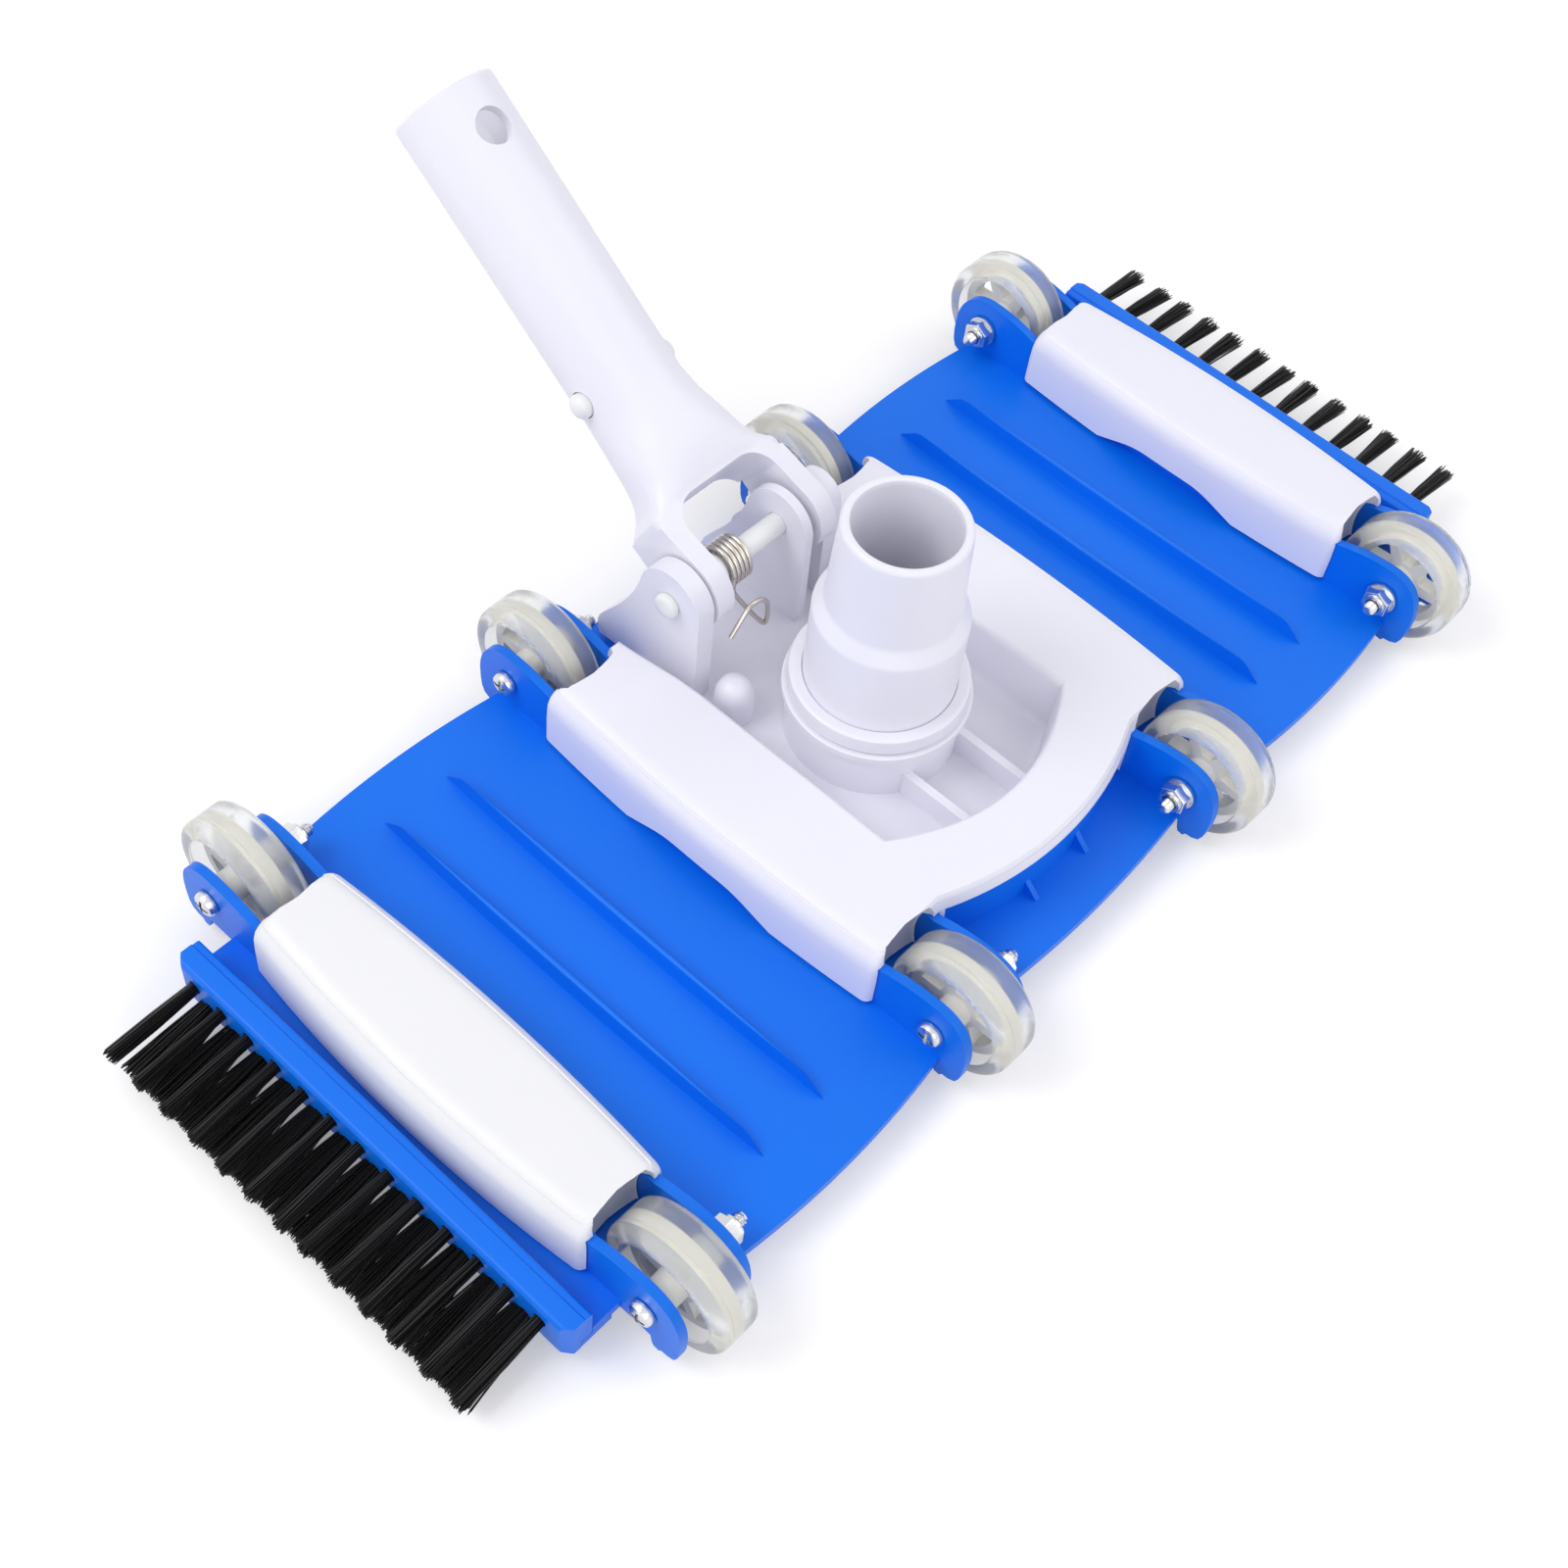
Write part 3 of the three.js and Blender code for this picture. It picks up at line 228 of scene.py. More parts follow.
class Blank:
    """A mesh in the making, in millimetres about the hose connector's axis."""

    def __init__(self) -> None:
        """Starts with an empty mesh."""
        self.bm = bmesh.new()

    def prism(self, outline: Sequence[Point2], axis: Axis, low: float, high: float) -> Blank:
        """Adds an outline extruded along an axis.

        Args:
            outline: The outline's points on the two other axes.
            axis: Direction of the extrusion.
            low: Where it starts.
            high: Where it ends.

        Returns:
            The same blank.
        """
        face = self.bm.faces.new([self.bm.verts.new(axis.place(u, v, low)) for u, v in outline])
        made = bmesh.ops.extrude_face_region(self.bm, geom=[face])["geom"]
        far = [item for item in made if isinstance(item, bmesh.types.BMVert)]
        bmesh.ops.translate(self.bm, verts=far, vec=axis.vector * (high - low))
        return self.outward()

    def box(self, x: Point2, y: Point2, z: Point2) -> Blank:
        """Adds a plain block between two values on each axis."""
        return self.prism([(x[0], y[0]), (x[1], y[0]), (x[1], y[1]), (x[0], y[1])], Axis.Z, *z)

    def turned(
        self,
        profile: Sequence[Point2],
        axis: Axis,
        steps: int,
        centre: Point2 = (0.0, 0.0),
    ) -> Blank:
        """Adds a profile spun about an axis.

        Args:
            profile: Points (radius, distance along the axis); a closed one repeats its first point.
            axis: The axis of the spin.
            steps: Sides of the turned shape.
            centre: Where the axis crosses the two other axes.

        Returns:
            The same blank.
        """
        loop = profile[0] == profile[-1]
        points = profile[:-1] if loop else profile
        made = [self.bm.verts.new(axis.place(centre[0] + r, centre[1], w)) for r, w in points]
        pairs = list(zip(made, made[1:] + made[:1] if loop else made[1:], strict=False))
        edges = [self.bm.edges.new(pair) for pair in pairs]
        bmesh.ops.spin(
            self.bm,
            geom=[*made, *edges],
            cent=axis.place(centre[0], centre[1], 0.0),
            axis=axis.vector,
            dvec=(0.0, 0.0, 0.0),
            angle=math.tau,
            steps=steps,
            use_merge=True,
            use_normal_flip=False,
            use_duplicate=False,
        )
        bmesh.ops.remove_doubles(self.bm, verts=self.bm.verts, dist=1e-4)
        return self.outward()

    def rod(
        self, radius: float, axis: Axis, low: float, high: float, steps: int, centre: Point2 = (0.0, 0.0)
    ) -> Blank:
        """Adds a plain round bar along an axis."""
        return self.turned([(0.0, low), (radius, low), (radius, high), (0.0, high)], axis, steps, centre)

    def lofted(self, rings: Sequence[Sequence[Point3]]) -> Blank:
        """Adds a skin through rings of equal point count, closed at both ends.

        Args:
            rings: The rings in order, each with its points in the same order.

        Returns:
            The same blank.
        """
        ring = [self.bm.verts.new(point) for point in rings[0]]
        face = self.bm.faces.new(ring)
        for level, following in enumerate(rings[1:]):
            spot = {vert.co.to_tuple(5): i for i, vert in enumerate(ring)}
            made = bmesh.ops.extrude_face_region(self.bm, geom=[face])["geom"]
            if level and face.is_valid:
                bmesh.ops.delete(self.bm, geom=[face], context="FACES_ONLY")
            verts = [item for item in made if isinstance(item, bmesh.types.BMVert)]
            face = next(item for item in made if isinstance(item, bmesh.types.BMFace))
            ring = sorted(verts, key=lambda vert: spot[vert.co.to_tuple(5)])
            for vert, point in zip(ring, following, strict=True):
                vert.co = point
        return self.outward()

    def wire(self, points: Sequence[Point3], radius: float, sides: int, smooth: int = 1) -> Blank:
        """Adds a round wire along points.

        Args:
            points: The wire's centre line.
            radius: Half of the wire's thickness.
            sides: Sides of its section.
            smooth: Steps of a smooth curve between two points, or 1 for straight steps.

        Returns:
            The same blank.
        """
        line = [Vector(p) for p in points]
        if smooth > 1:
            rows = [[float(i), *p] for i, p in enumerate(points)]
            line = [Vector(row[1:]) for row in between(rows, smooth)]
        across = Vector((1.0, 0.0, 0.0)).cross(line[1] - line[0]).normalized()
        rings: list[list[Point3]] = []
        for i, spot in enumerate(line):
            along = (line[min(i + 1, len(line) - 1)] - line[max(i - 1, 0)]).normalized()
            across = (across - along * across.dot(along)).normalized()
            other = along.cross(across)
            turns = [math.tau * k / sides for k in range(sides)]
            rings.append([tuple(spot + (across * math.cos(t) + other * math.sin(t)) * radius) for t in turns])
        return self.lofted(rings)

    def strand(self, points: Sequence[Point3], radius: float) -> Blank:
        """Adds a three-sided bristle along three points, with a cut tip.

        Args:
            points: Its root, middle and tip.
            radius: Its reach from its middle line.

        Returns:
            The same blank.
        """
        rings = []
        for spot, share in zip(points, (1.0, 1.0, 0.75), strict=True):
            wide = radius * share
            corners = arc(spot[1], spot[2], wide, 0, 240, 2)
            rings.append([self.bm.verts.new((spot[0], v, w)) for v, w in corners])
        for near, far in zip(rings, rings[1:], strict=False):
            for k in range(3):
                self.bm.faces.new((near[k], near[k - 2], far[k - 2], far[k]))
        self.bm.faces.new(rings[0][::-1])
        self.bm.faces.new(rings[-1])
        return self

    def outward(self) -> Blank:
        """Turns every face outwards."""
        bmesh.ops.recalc_face_normals(self.bm, faces=self.bm.faces)
        return self

    def moved(self, matrix: Matrix) -> Blank:
        """Moves the whole blank by a matrix."""
        bmesh.ops.transform(self.bm, matrix=matrix, verts=self.bm.verts)
        return self.outward()

    def _object(self) -> bpy.types.Object:
        """Puts the mesh in a working object for a modifier.

        Returns:
            The working object.
        """
        mesh = bpy.data.meshes.new("working")
        self.bm.to_mesh(mesh)
        made = bpy.data.objects.new("working", mesh)
        bpy.context.scene.collection.objects.link(made)
        return made

    def combined(self, how: Join, others: Iterable[Blank]) -> Blank:
        """Adds or cuts other blanks, each a closed shape.

        Args:
            how: Whether the others are added or cut away.
            others: The other blanks, which are used up.

        Returns:
            The same blank with the new mesh.
        """
        body = self._object()
        tools = []
        for other in others:
            tool = other._object()
            tool.hide_render = True
            other.bm.free()
            step = body.modifiers.new("step", "BOOLEAN")
            step.operation = how.value
            step.solver = "EXACT"
            step.object = tool
            tools.append(tool)
        graph = bpy.context.evaluated_depsgraph_get()
        result = bpy.data.meshes.new_from_object(body.evaluated_get(graph))
        self.bm.free()
        self.bm = bmesh.new()
        self.bm.from_mesh(result)
        bpy.data.meshes.remove(result)
        for used in [body, *tools]:
            mesh = used.data
            bpy.data.objects.remove(used)
            bpy.data.meshes.remove(mesh)
        bmesh.ops.remove_doubles(self.bm, verts=self.bm.verts, dist=1e-3)
        return self

    def softened(self, width: float, segments: int = 2, least: float = 32.0) -> Blank:
        """Rounds every edge sharper than an angle.

        Args:
            width: Width of the rounding.
            segments: Steps of the rounding.
            least: Smallest angle between two faces, in degrees, that is rounded.

        Returns:
            The same blank.
        """
        bmesh.ops.dissolve_limit(
            self.bm, angle_limit=math.radians(0.6), verts=self.bm.verts, edges=self.bm.edges, delimit=set()
        )
        sharp = [
            edge
            for edge in self.bm.edges
            if len(edge.link_faces) == 2 and edge.calc_face_angle(0.0) > math.radians(least)
        ]
        bmesh.ops.bevel(
            self.bm,
            geom=sharp,
            offset=width,
            offset_type="OFFSET",
            segments=segments,
            profile=0.5,
            affect="EDGES",
            clamp_overlap=True,
            material=-1,
            miter_outer="ARC",
        )
        return self

    def piece(self, name: str, dress: Dress, smooth: float = 38.0) -> bpy.types.Object:
        """Finishes the blank as a piece of the object.

        Args:
            name: The piece's name.
            dress: What it rides on, stands for and is finished with.
            smooth: Edges below this angle, in degrees, are shaded smooth.

        Returns:
            The finished object at the origin, with its place in its mesh.
        """
        bmesh.ops.triangulate(self.bm, faces=[f for f in self.bm.faces if len(f.verts) > 4])
        bmesh.ops.transform(self.bm, matrix=dress.placing, verts=self.bm.verts)
        mesh = bpy.data.meshes.new(name)
        self.bm.to_mesh(mesh)
        self.bm.free()
        made = bpy.data.objects.new(name, mesh)
        bpy.context.scene.collection.objects.link(made)
        mesh.materials.append(dress.material)
        mesh.shade_smooth()
        mesh.set_sharp_from_angle(angle=math.radians(smooth))
        level = made.modifiers.new("even_shading", "WEIGHTED_NORMAL")
        level.keep_sharp = True
        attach(made, dress.body)
        if dress.nodes:
            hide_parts(*dress.nodes)
        LOG.info("%s: %d faces on %s", name, len(mesh.polygons), dress.body)
        return made


@dataclass
class Dress:
    """What a finished piece rides on, stands for and is finished with."""

    body: str
    slot: str
    material: bpy.types.Material
    placing: Matrix
    nodes: tuple[str, ...] = ()


# ---- finishes --------------------------------------------------------------------------------


class NodePen:
    """Adds and links the nodes of one tree."""

    def __init__(self, tree: bpy.types.NodeTree) -> None:
        """Keeps the tree that it works on."""
        self.tree = tree

    def add(self, kind: str, *sources: bpy.types.NodeSocket, **values: object) -> bpy.types.Node:
        """Adds a node, sets its properties and sets or links its inputs.

        Args:
            kind: The node's type name.
            *sources: Outputs for its first inputs, in order.
            **values: Properties, or inputs with their spaces written as underscores. An input that is
                given an output is linked to it.

        Returns:
            The new node.
        """
        node = self.tree.nodes.new(kind)
        for key, value in values.items():
            if isinstance(value, bpy.types.NodeSocket):
                self.link(value, node.inputs[key.replace("_", " ")])
            elif hasattr(node, key):
                setattr(node, key, value)
            else:
                node.inputs[key.replace("_", " ")].default_value = value
        for i, source in enumerate(sources):
            self.link(source, node.inputs[i])
        return node

    def maths(self, operation: str, *terms: bpy.types.NodeSocket) -> bpy.types.NodeSocket:
        """Adds a node that works on its terms, and gives its result."""
        return self.add("ShaderNodeMath", *terms, operation=operation).outputs[0]

    def link(self, start: bpy.types.NodeSocket, end: bpy.types.NodeSocket) -> None:
        """Links an output to an input."""
        self.tree.links.new(start, end)


def moulded_surface() -> bpy.types.NodeTree:
    """Builds the group for moulded plastic: faint clouding, scuffs and an eggshell grain.

    Returns:
        The node group, with Color, Roughness and Normal outputs.
    """
    group = bpy.data.node_groups.new("moulded_surface", "ShaderNodeTree")
    starts = {
        "Cloud Scale": 30.0,
        "Cloud Amount": 0.5,
        "Roughness": 0.35,
        "Roughness Spread": 0.1,
        "Grain Scale": 900.0,
        "Grain Depth": 0.1,
        "Wave Depth": 0.1,
        "Scuffs": 0.3,
    }
    add = group.interface.new_socket
    for name in ("Color", "Shade Color"):
        add(name, in_out="INPUT", socket_type="NodeSocketColor")
    for name, start in starts.items():
        add(name, in_out="INPUT", socket_type="NodeSocketFloat").default_value = start
    for name, kind in (("Color", "Color"), ("Roughness", "Float"), ("Normal", "Vector")):
        add(name, in_out="OUTPUT", socket_type=f"NodeSocket{kind}")
    pen = NodePen(group)
    given = pen.add("NodeGroupInput").outputs
    spot = pen.add("ShaderNodeTexCoord").outputs["Object"]

    # clouding between the two colours
    scale = given["Cloud Scale"]
    cloud = pen.add("ShaderNodeTexNoise", Vector=spot, Scale=scale, Detail=4.0, Roughness=0.55)
    share = pen.maths("MULTIPLY", cloud.outputs["Fac"], given["Cloud Amount"])
    tint = pen.add("ShaderNodeMix", share, data_type="RGBA")
    pen.link(given["Color"], tint.inputs[6])
    pen.link(given["Shade Color"], tint.inputs[7])

    # roughness, with long thin scuffs
    stretched = pen.add("ShaderNodeMapping", Vector=spot, Scale=(40.0, 900.0, 400.0)).outputs["Vector"]
    scuff = pen.add("ShaderNodeTexNoise", Vector=stretched, Scale=1.0, Detail=3.0, Roughness=0.6)
    picked = pen.add("ShaderNodeMapRange", scuff.outputs["Fac"], From_Min=0.58, From_Max=0.75)
    scuffed = pen.maths("MULTIPLY", picked.outputs["Result"], given["Scuffs"])
    both = pen.maths("ADD", cloud.outputs["Fac"], scuffed)
    rough = pen.maths("MULTIPLY_ADD", both, given["Roughness Spread"], given["Roughness"])

    # slow waves of the moulding under a fine grain
    wave = pen.add("ShaderNodeTexNoise", Vector=spot, Scale=70.0, Detail=1.0).outputs["Fac"]
    sink = pen.add("ShaderNodeBump", Height=wave, Strength=given["Wave Depth"], Distance=0.0008)
    grain = pen.add("ShaderNodeTexNoise", Vector=spot, Scale=given["Grain Scale"], Detail=2.0)
    fine = pen.add("ShaderNodeBump", Height=grain.outputs["Fac"], Distance=0.0002)
    pen.link(given["Grain Depth"], fine.inputs["Strength"])
    pen.link(sink.outputs["Normal"], fine.inputs["Normal"])
    pen.add("NodeGroupOutput", tint.outputs[2], rough, fine.outputs["Normal"])
    return group


@dataclass(frozen=True)
class Finish:
    """A surface finish that starts from one shared group and a principled shader."""

    name: str
    color: Point3
    shade: Point3
    roughness: float
    spread: float = 0.1
    grain: float = 0.1
    wave: float = 0.12
    scuffs: float = 0.3
    metallic: float = 0.0
    specular: float = 0.5
    ior: float = 1.5
    subsurface: float = 0.0
    transmission: float = 0.0

    def build(self, group: bpy.types.NodeTree) -> bpy.types.Material:
        """Makes the finish's material.

        Args:
            group: The shared surface group.

        Returns:
            The material.
        """
        made = bpy.data.materials.new(self.name)
        made.use_nodes = True
        pen = NodePen(made.node_tree)
        shader = next(n for n in made.node_tree.nodes if n.type == "BSDF_PRINCIPLED")
        skin = pen.add(
            "ShaderNodeGroup",
            node_tree=group,
            Color=(*self.color, 1.0),
            Shade_Color=(*self.shade, 1.0),
            Roughness=self.roughness,
            Roughness_Spread=self.spread,
            Grain_Depth=self.grain,
            Wave_Depth=self.wave,
            Scuffs=self.scuffs,
        )
        for key, entry in (("Color", "Base Color"), ("Roughness", "Roughness"), ("Normal", "Normal")):
            pen.link(skin.outputs[key], shader.inputs[entry])
        plain = {
            "Metallic": self.metallic,
            "Specular IOR Level": self.specular,
            "IOR": self.ior,
            "Subsurface Weight": self.subsurface,
            "Subsurface Radius": (0.004, 0.004, 0.005),
            "Transmission Weight": self.transmission,
        }
        for key, value in plain.items():
            shader.inputs[key].default_value = value
        return made


FINISHES = {
    "blue_plastic": Finish("blue_moulding", (0.0, 0.165, 0.82), (0.0, 0.14, 0.72), 0.36, specular=0.32),
    "white_plastic": Finish(
        "white_moulding", (0.835, 0.83, 0.905), (0.79, 0.785, 0.865), 0.32, subsurface=0.15, scuffs=0.15
    ),
    "warm_white": Finish("warm_white_moulding", (0.83, 0.83, 0.84), (0.78, 0.78, 0.8), 0.36, subsurface=0.15),
    "nylon": Finish("natural_nylon", (0.85, 0.86, 0.85), (0.78, 0.79, 0.77), 0.33, subsurface=0.4),
    "ivory_plastic": Finish("ivory_core", (0.84, 0.82, 0.75), (0.76, 0.73, 0.65), 0.36, subsurface=0.4),
    "clear_tyre": Finish(
        "clear_tyre",
        (0.95, 0.96, 0.955),
        (0.91, 0.92, 0.915),
        0.22,
        spread=0.05,
        grain=0.0,
        wave=0.0,
        scuffs=0.0,
        transmission=0.9,
        ior=1.36,
    ),
    "steel": Finish("bright_steel", (0.72, 0.73, 0.75), (0.6, 0.6, 0.62), 0.18, metallic=1.0, wave=0.05),
    "spring_steel": Finish(
        "drawn_wire", (0.66, 0.62, 0.57), (0.5, 0.46, 0.41), 0.22, metallic=1.0, wave=0.05
    ),
    "bristle": Finish("black_bristle", (0.004, 0.004, 0.005), (0.008, 0.008, 0.009), 0.45, wave=0.0),
    "ballast": Finish("cast_ballast", (0.12, 0.125, 0.13), (0.05, 0.05, 0.05), 0.6, metallic=0.6, grain=0.6),
}


@dataclass
class Workshop:
    """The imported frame, its materials and the way to dress a piece."""

    frame: dict
    placing: Matrix
    materials: dict[str, bpy.types.Material] = field(default_factory=dict)

    @classmethod
    def opened(cls) -> Workshop:
        """Loads the frame and builds every finish.

        Returns:
            The workshop.
        """
        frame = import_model()
        low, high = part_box("hose_connector")
        middle = (low.y + high.y) / 2
        placing = Matrix.Translation((0.0, middle, 0.0)) @ Matrix.Scale(MM, 4)
        group = moulded_surface()
        made = {name: finish.build(group) for name, finish in FINISHES.items()}
        return cls(frame, placing, made)

    def dress(self, body: str, slot: str, *nodes: str, finish: str | None = None) -> Dress:
        """Says how a piece is dressed.

        Args:
            body: The body it rides on.
            slot: The record's material slot.
            *nodes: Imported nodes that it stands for.
            finish: The finish's name, if it isn't the slot's own.

        Returns:
            The dress.
        """
        return Dress(body, slot, self.materials[finish or slot], self.placing, nodes)

    def dress_packed(self) -> None:
        """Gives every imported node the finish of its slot."""
        slots = {row["node"]: row["material_slot"] for row in self.frame["record"]["subparts"]}
        for name, node in self.frame["nodes"].items():
            node.data.materials.clear()
            node.data.materials.append(self.materials[slots[name]])


# ---- sub-assemblies --------------------------------------------------------------------------

RAILS = {"outer_left": -149.0, "inner_left": -51.0, "inner_right": 51.0, "outer_right": 149.0}
WHEEL_Y = 74.0
WHEEL_RADIUS = 18.5
COVER_SCREWS_Y = (-43.0, 43.0)
WIRE_SMOOTH = 60.0
STEEL_SMOOTH = 30.0


@dataclass
class HoseConnector:
    """The stepped tube that swivels in the socket, and its retaining ring."""

    shop: Workshop
    top: float = 92.5
    bore: float = 13.8
    steps: int = 96

    def build(self) -> None:
        """Builds the connector and the ring."""
        outside = [(15.6, 13.0), (17.9, 13.0), (17.9, 24.3), (21.6, 24.3), (21.6, 27.4), (20.3, 27.6)]
        lower = [(20.3, 60.4), (20.2, 61.2), (19.9, 61.8), (18.1, 64.8), (17.7, 65.6), (17.6, 66.4)]
        upper = [(16.4, 91.0), (16.3, 91.7), (15.9, 92.3), (15.4, self.top), (14.6, self.top), (14.1, 92.2)]
        inside = [(13.85, 91.5), (self.bore, 90.6), (self.bore, 59.5), (15.6, 58.5), (15.6, 13.0)]
        tube = Blank().turned([*outside, *lower, *upper, *inside], Axis.Z, self.steps)
        tube.piece("swivel_connector", self.shop.dress("hose_swivel", "white_plastic", "hose_connector"))
        ring = [(20.34, 27.8), (21.9, 27.8), (21.9, 31.9), (23.7, 31.9), (24.0, 32.2), (24.0, 35.9)]
        crown = [(23.8, 36.6), (23.3, 36.95), (22.7, 37.0), (20.8, 37.0), (20.5, 36.85), (20.34, 36.5)]
        hoop = Blank().turned([*ring, *crown, ring[0]], Axis.Z, self.steps)
        hoop.piece("retaining_ring", self.shop.dress("head", "nylon", "swivel_ring", finish="white_plastic"))


@dataclass
class Wheels:
    """Eight wheels on their axle screws: spoked core, clear tyre, screw and nut."""

    shop: Workshop
    width: float = 13.5
    rim: float = 14.2
    seat: float = 11.7
    key: Point2 = (15.3, 1.1)
    rim_inset: float = 4.5
    contact: float = 0.03

    def build(self) -> None:
        """Builds every wheel with its axle."""
        for end, y in (("front", -WHEEL_Y), ("back", WHEEL_Y)):
            for rail, x in RAILS.items():
                self.core(f"{end}_{rail}", x, y)
                self.tyre(f"{end}_{rail}", x, y)
                self.screw(f"{end}_{rail}", x, y)
                self.nut(f"{end}_{rail}", x, y)

    def core(self, place: str, x: float, y: float) -> None:
        """Builds the ivory core with six openings.

        Args:
            place: The wheel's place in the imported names.
            x: Middle of the wheel along the head.
            y: Its axle's place.
        """
        half = self.width / 2 - self.rim_inset
        middle = (y, WHEEL_RADIUS)
        deep, wide = self.key[0] + self.contact, self.key[1] + self.contact
        disc = Blank().rod(self.rim + self.contact, Axis.X, x - half, x + half, 96, middle)
        hub = Blank().rod(4.4, Axis.X, x - 8.5, x + 8.5, 32, middle)
        ring = Blank().rod(deep, Axis.X, x - wide, x + wide, 96, middle)
        openings = []
        for turn in range(30, 360, 60):
            outer = arc(y, WHEEL_RADIUS, 11.6, turn - 23, turn + 23, 6)
            inner = arc(y, WHEEL_RADIUS, 5.9, turn + 12, turn - 12, 2)
            openings.append(Blank().prism([*outer, *inner], Axis.X, x - 9, x + 9))
        bore = Blank().rod(2.4, Axis.X, x - 12, x + 12, 24, middle)
        disc.combined(Join.ADD, [hub, ring]).combined(Join.CUT, [*openings, bore]).softened(0.35)
        dress = self.shop.dress(f"wheel_{place}", "ivory_plastic", f"wheel_core_{place}")
        disc.piece(f"core_{place}", dress)

    def tyre(self, place: str, x: float, y: float) -> None:
        """Builds the clear tyre.

        Args:
            place: The wheel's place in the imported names.
            x: Middle of the wheel along the head.
            y: Its axle's place.
        """
        half = self.width / 2
        deep, wide = self.key
        profile = rounded(
            [
                (self.rim, x - half + 0.4, 0.3),
                (WHEEL_RADIUS, x - half, 2.6),
                (WHEEL_RADIUS, x + half, 2.6),
                (self.rim, x + half - 0.4, 0.3),
                (self.rim, x + wide),
                (deep, x + wide),
                (deep, x - wide),
                (self.rim, x - wide),
            ]
        )
        ring = Blank().turned([*profile, profile[0]], Axis.X, 96, (y, WHEEL_RADIUS))
        dress = self.shop.dress(f"wheel_{place}", "clear_tyre", f"wheel_tyre_{place}")
        ring.piece(f"tyre_{place}", dress)

    def screw(self, place: str, x: float, y: float) -> None:
        """Builds the pan-head screw with its cross recess.

        Args:
            place: The wheel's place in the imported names.
            x: Middle of the wheel along the head.
            y: Its axle's place.
        """
        out = math.copysign(1.0, x)
        head = [(0.0, 2.6), (1.4, 2.55), (2.5, 2.35), (3.1, 1.95), (3.4, 1.3), (3.5, 0.5), (3.5, 0.0)]
        profile = [(r, x + out * (self.seat + w)) for r, w in [*head, (1.9, 0.0)]]
        shank = [(1.9, 5.4), *self.thread(5.5, 8.1), (0.0, 8.7)]
        profile += [(r, x - out * (self.seat + w)) for r, w in shank]
        body = Blank().turned(profile, Axis.X, 24, (y, WHEEL_RADIUS))
        ends = sorted((x + out * (self.seat + 1.3), x + out * (self.seat + 3.0)))
        bars = []
        for long, high in ((2.3, 0.45), (0.45, 2.3)):
            flat = [(y - long, WHEEL_RADIUS - high), (y + long, WHEEL_RADIUS - high)]
            flat += [(y + long, WHEEL_RADIUS + high), (y - long, WHEEL_RADIUS + high)]
            bars.append(Blank().prism(flat, Axis.X, *ends))
        body.combined(Join.CUT, bars)
        body.piece(f"screw_{place}", self.shop.dress("head", "steel", f"axle_screw_{place}"), STEEL_SMOOTH)

    def thread(self, start: float, end: float) -> list[Point2]:
        """Ridges of the screw's thread between two distances from the seat."""
        count = int((end - start) / 0.35)
        return [(1.9 if i % 2 else 1.6, start + 0.35 * i) for i in range(count)] + [(1.4, end)]

    def nut(self, place: str, x: float, y: float) -> None:
        """Builds the lock nut with its round collar, on its washer.

        Args:
            place: The wheel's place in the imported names.
            x: Middle of the wheel along the head.
            y: Its axle's place.
        """
        out = -math.copysign(1.0, x)
        steps = [x + out * (self.seat + w) for w in (0.0, 1.1, 1.0, 4.4, 4.3, 5.2)]
        middle = (y, WHEEL_RADIUS)
        washer = Blank().rod(4.7, Axis.X, *sorted(steps[:2]), 40, middle).softened(0.2)
        flats = Blank().prism(arc(y, WHEEL_RADIUS, 4.35, 30, 330, 5), Axis.X, *sorted(steps[2:4]))
        dome = [(0.0, steps[4]), (3.2, steps[4]), (3.1, steps[5]), (0.0, steps[5])]
        collar = Blank().turned(dome, Axis.X, 32, middle)
        bore = Blank().rod(2.2, Axis.X, x - 40, x + 40, 24, middle)
        washer.combined(Join.ADD, [flats.softened(0.3), collar]).combined(Join.CUT, [bore])
        washer.piece(f"nut_{place}", self.shop.dress("head", "steel", f"axle_nut_{place}"), STEEL_SMOOTH)


@dataclass(frozen=True)
class TuftRow:
    """One row of tufts: its count and height, and how its strands fan out from root to tip."""

    count: int
    height: float
    strands: int
    root_spread: float
    tip_x: float
    tip_z: float
    spread: float
    rise: float


TUFTS = {
    Side.LEFT: (
        TuftRow(13, 14.2, 90, 1.5, 202.0, 11.0, 2.0, 1.7),
        # The left lower row is real bristles, but it is packed far denser than the right row. Its black
        # strands are also painted shade: a dark fill for the shadow between the upper tufts near the bar.
        TuftRow(12, 9.8, 190, 3.7, 199.6, 3.9, 6.8, 1.7),
    ),
    Side.RIGHT: (
        TuftRow(13, 14.2, 90, 1.5, 202.0, 11.0, 2.9, 1.9),
        TuftRow(12, 9.8, 90, 1.5, 187.0, 2.6, 3.6, 1.2),
    ),
}


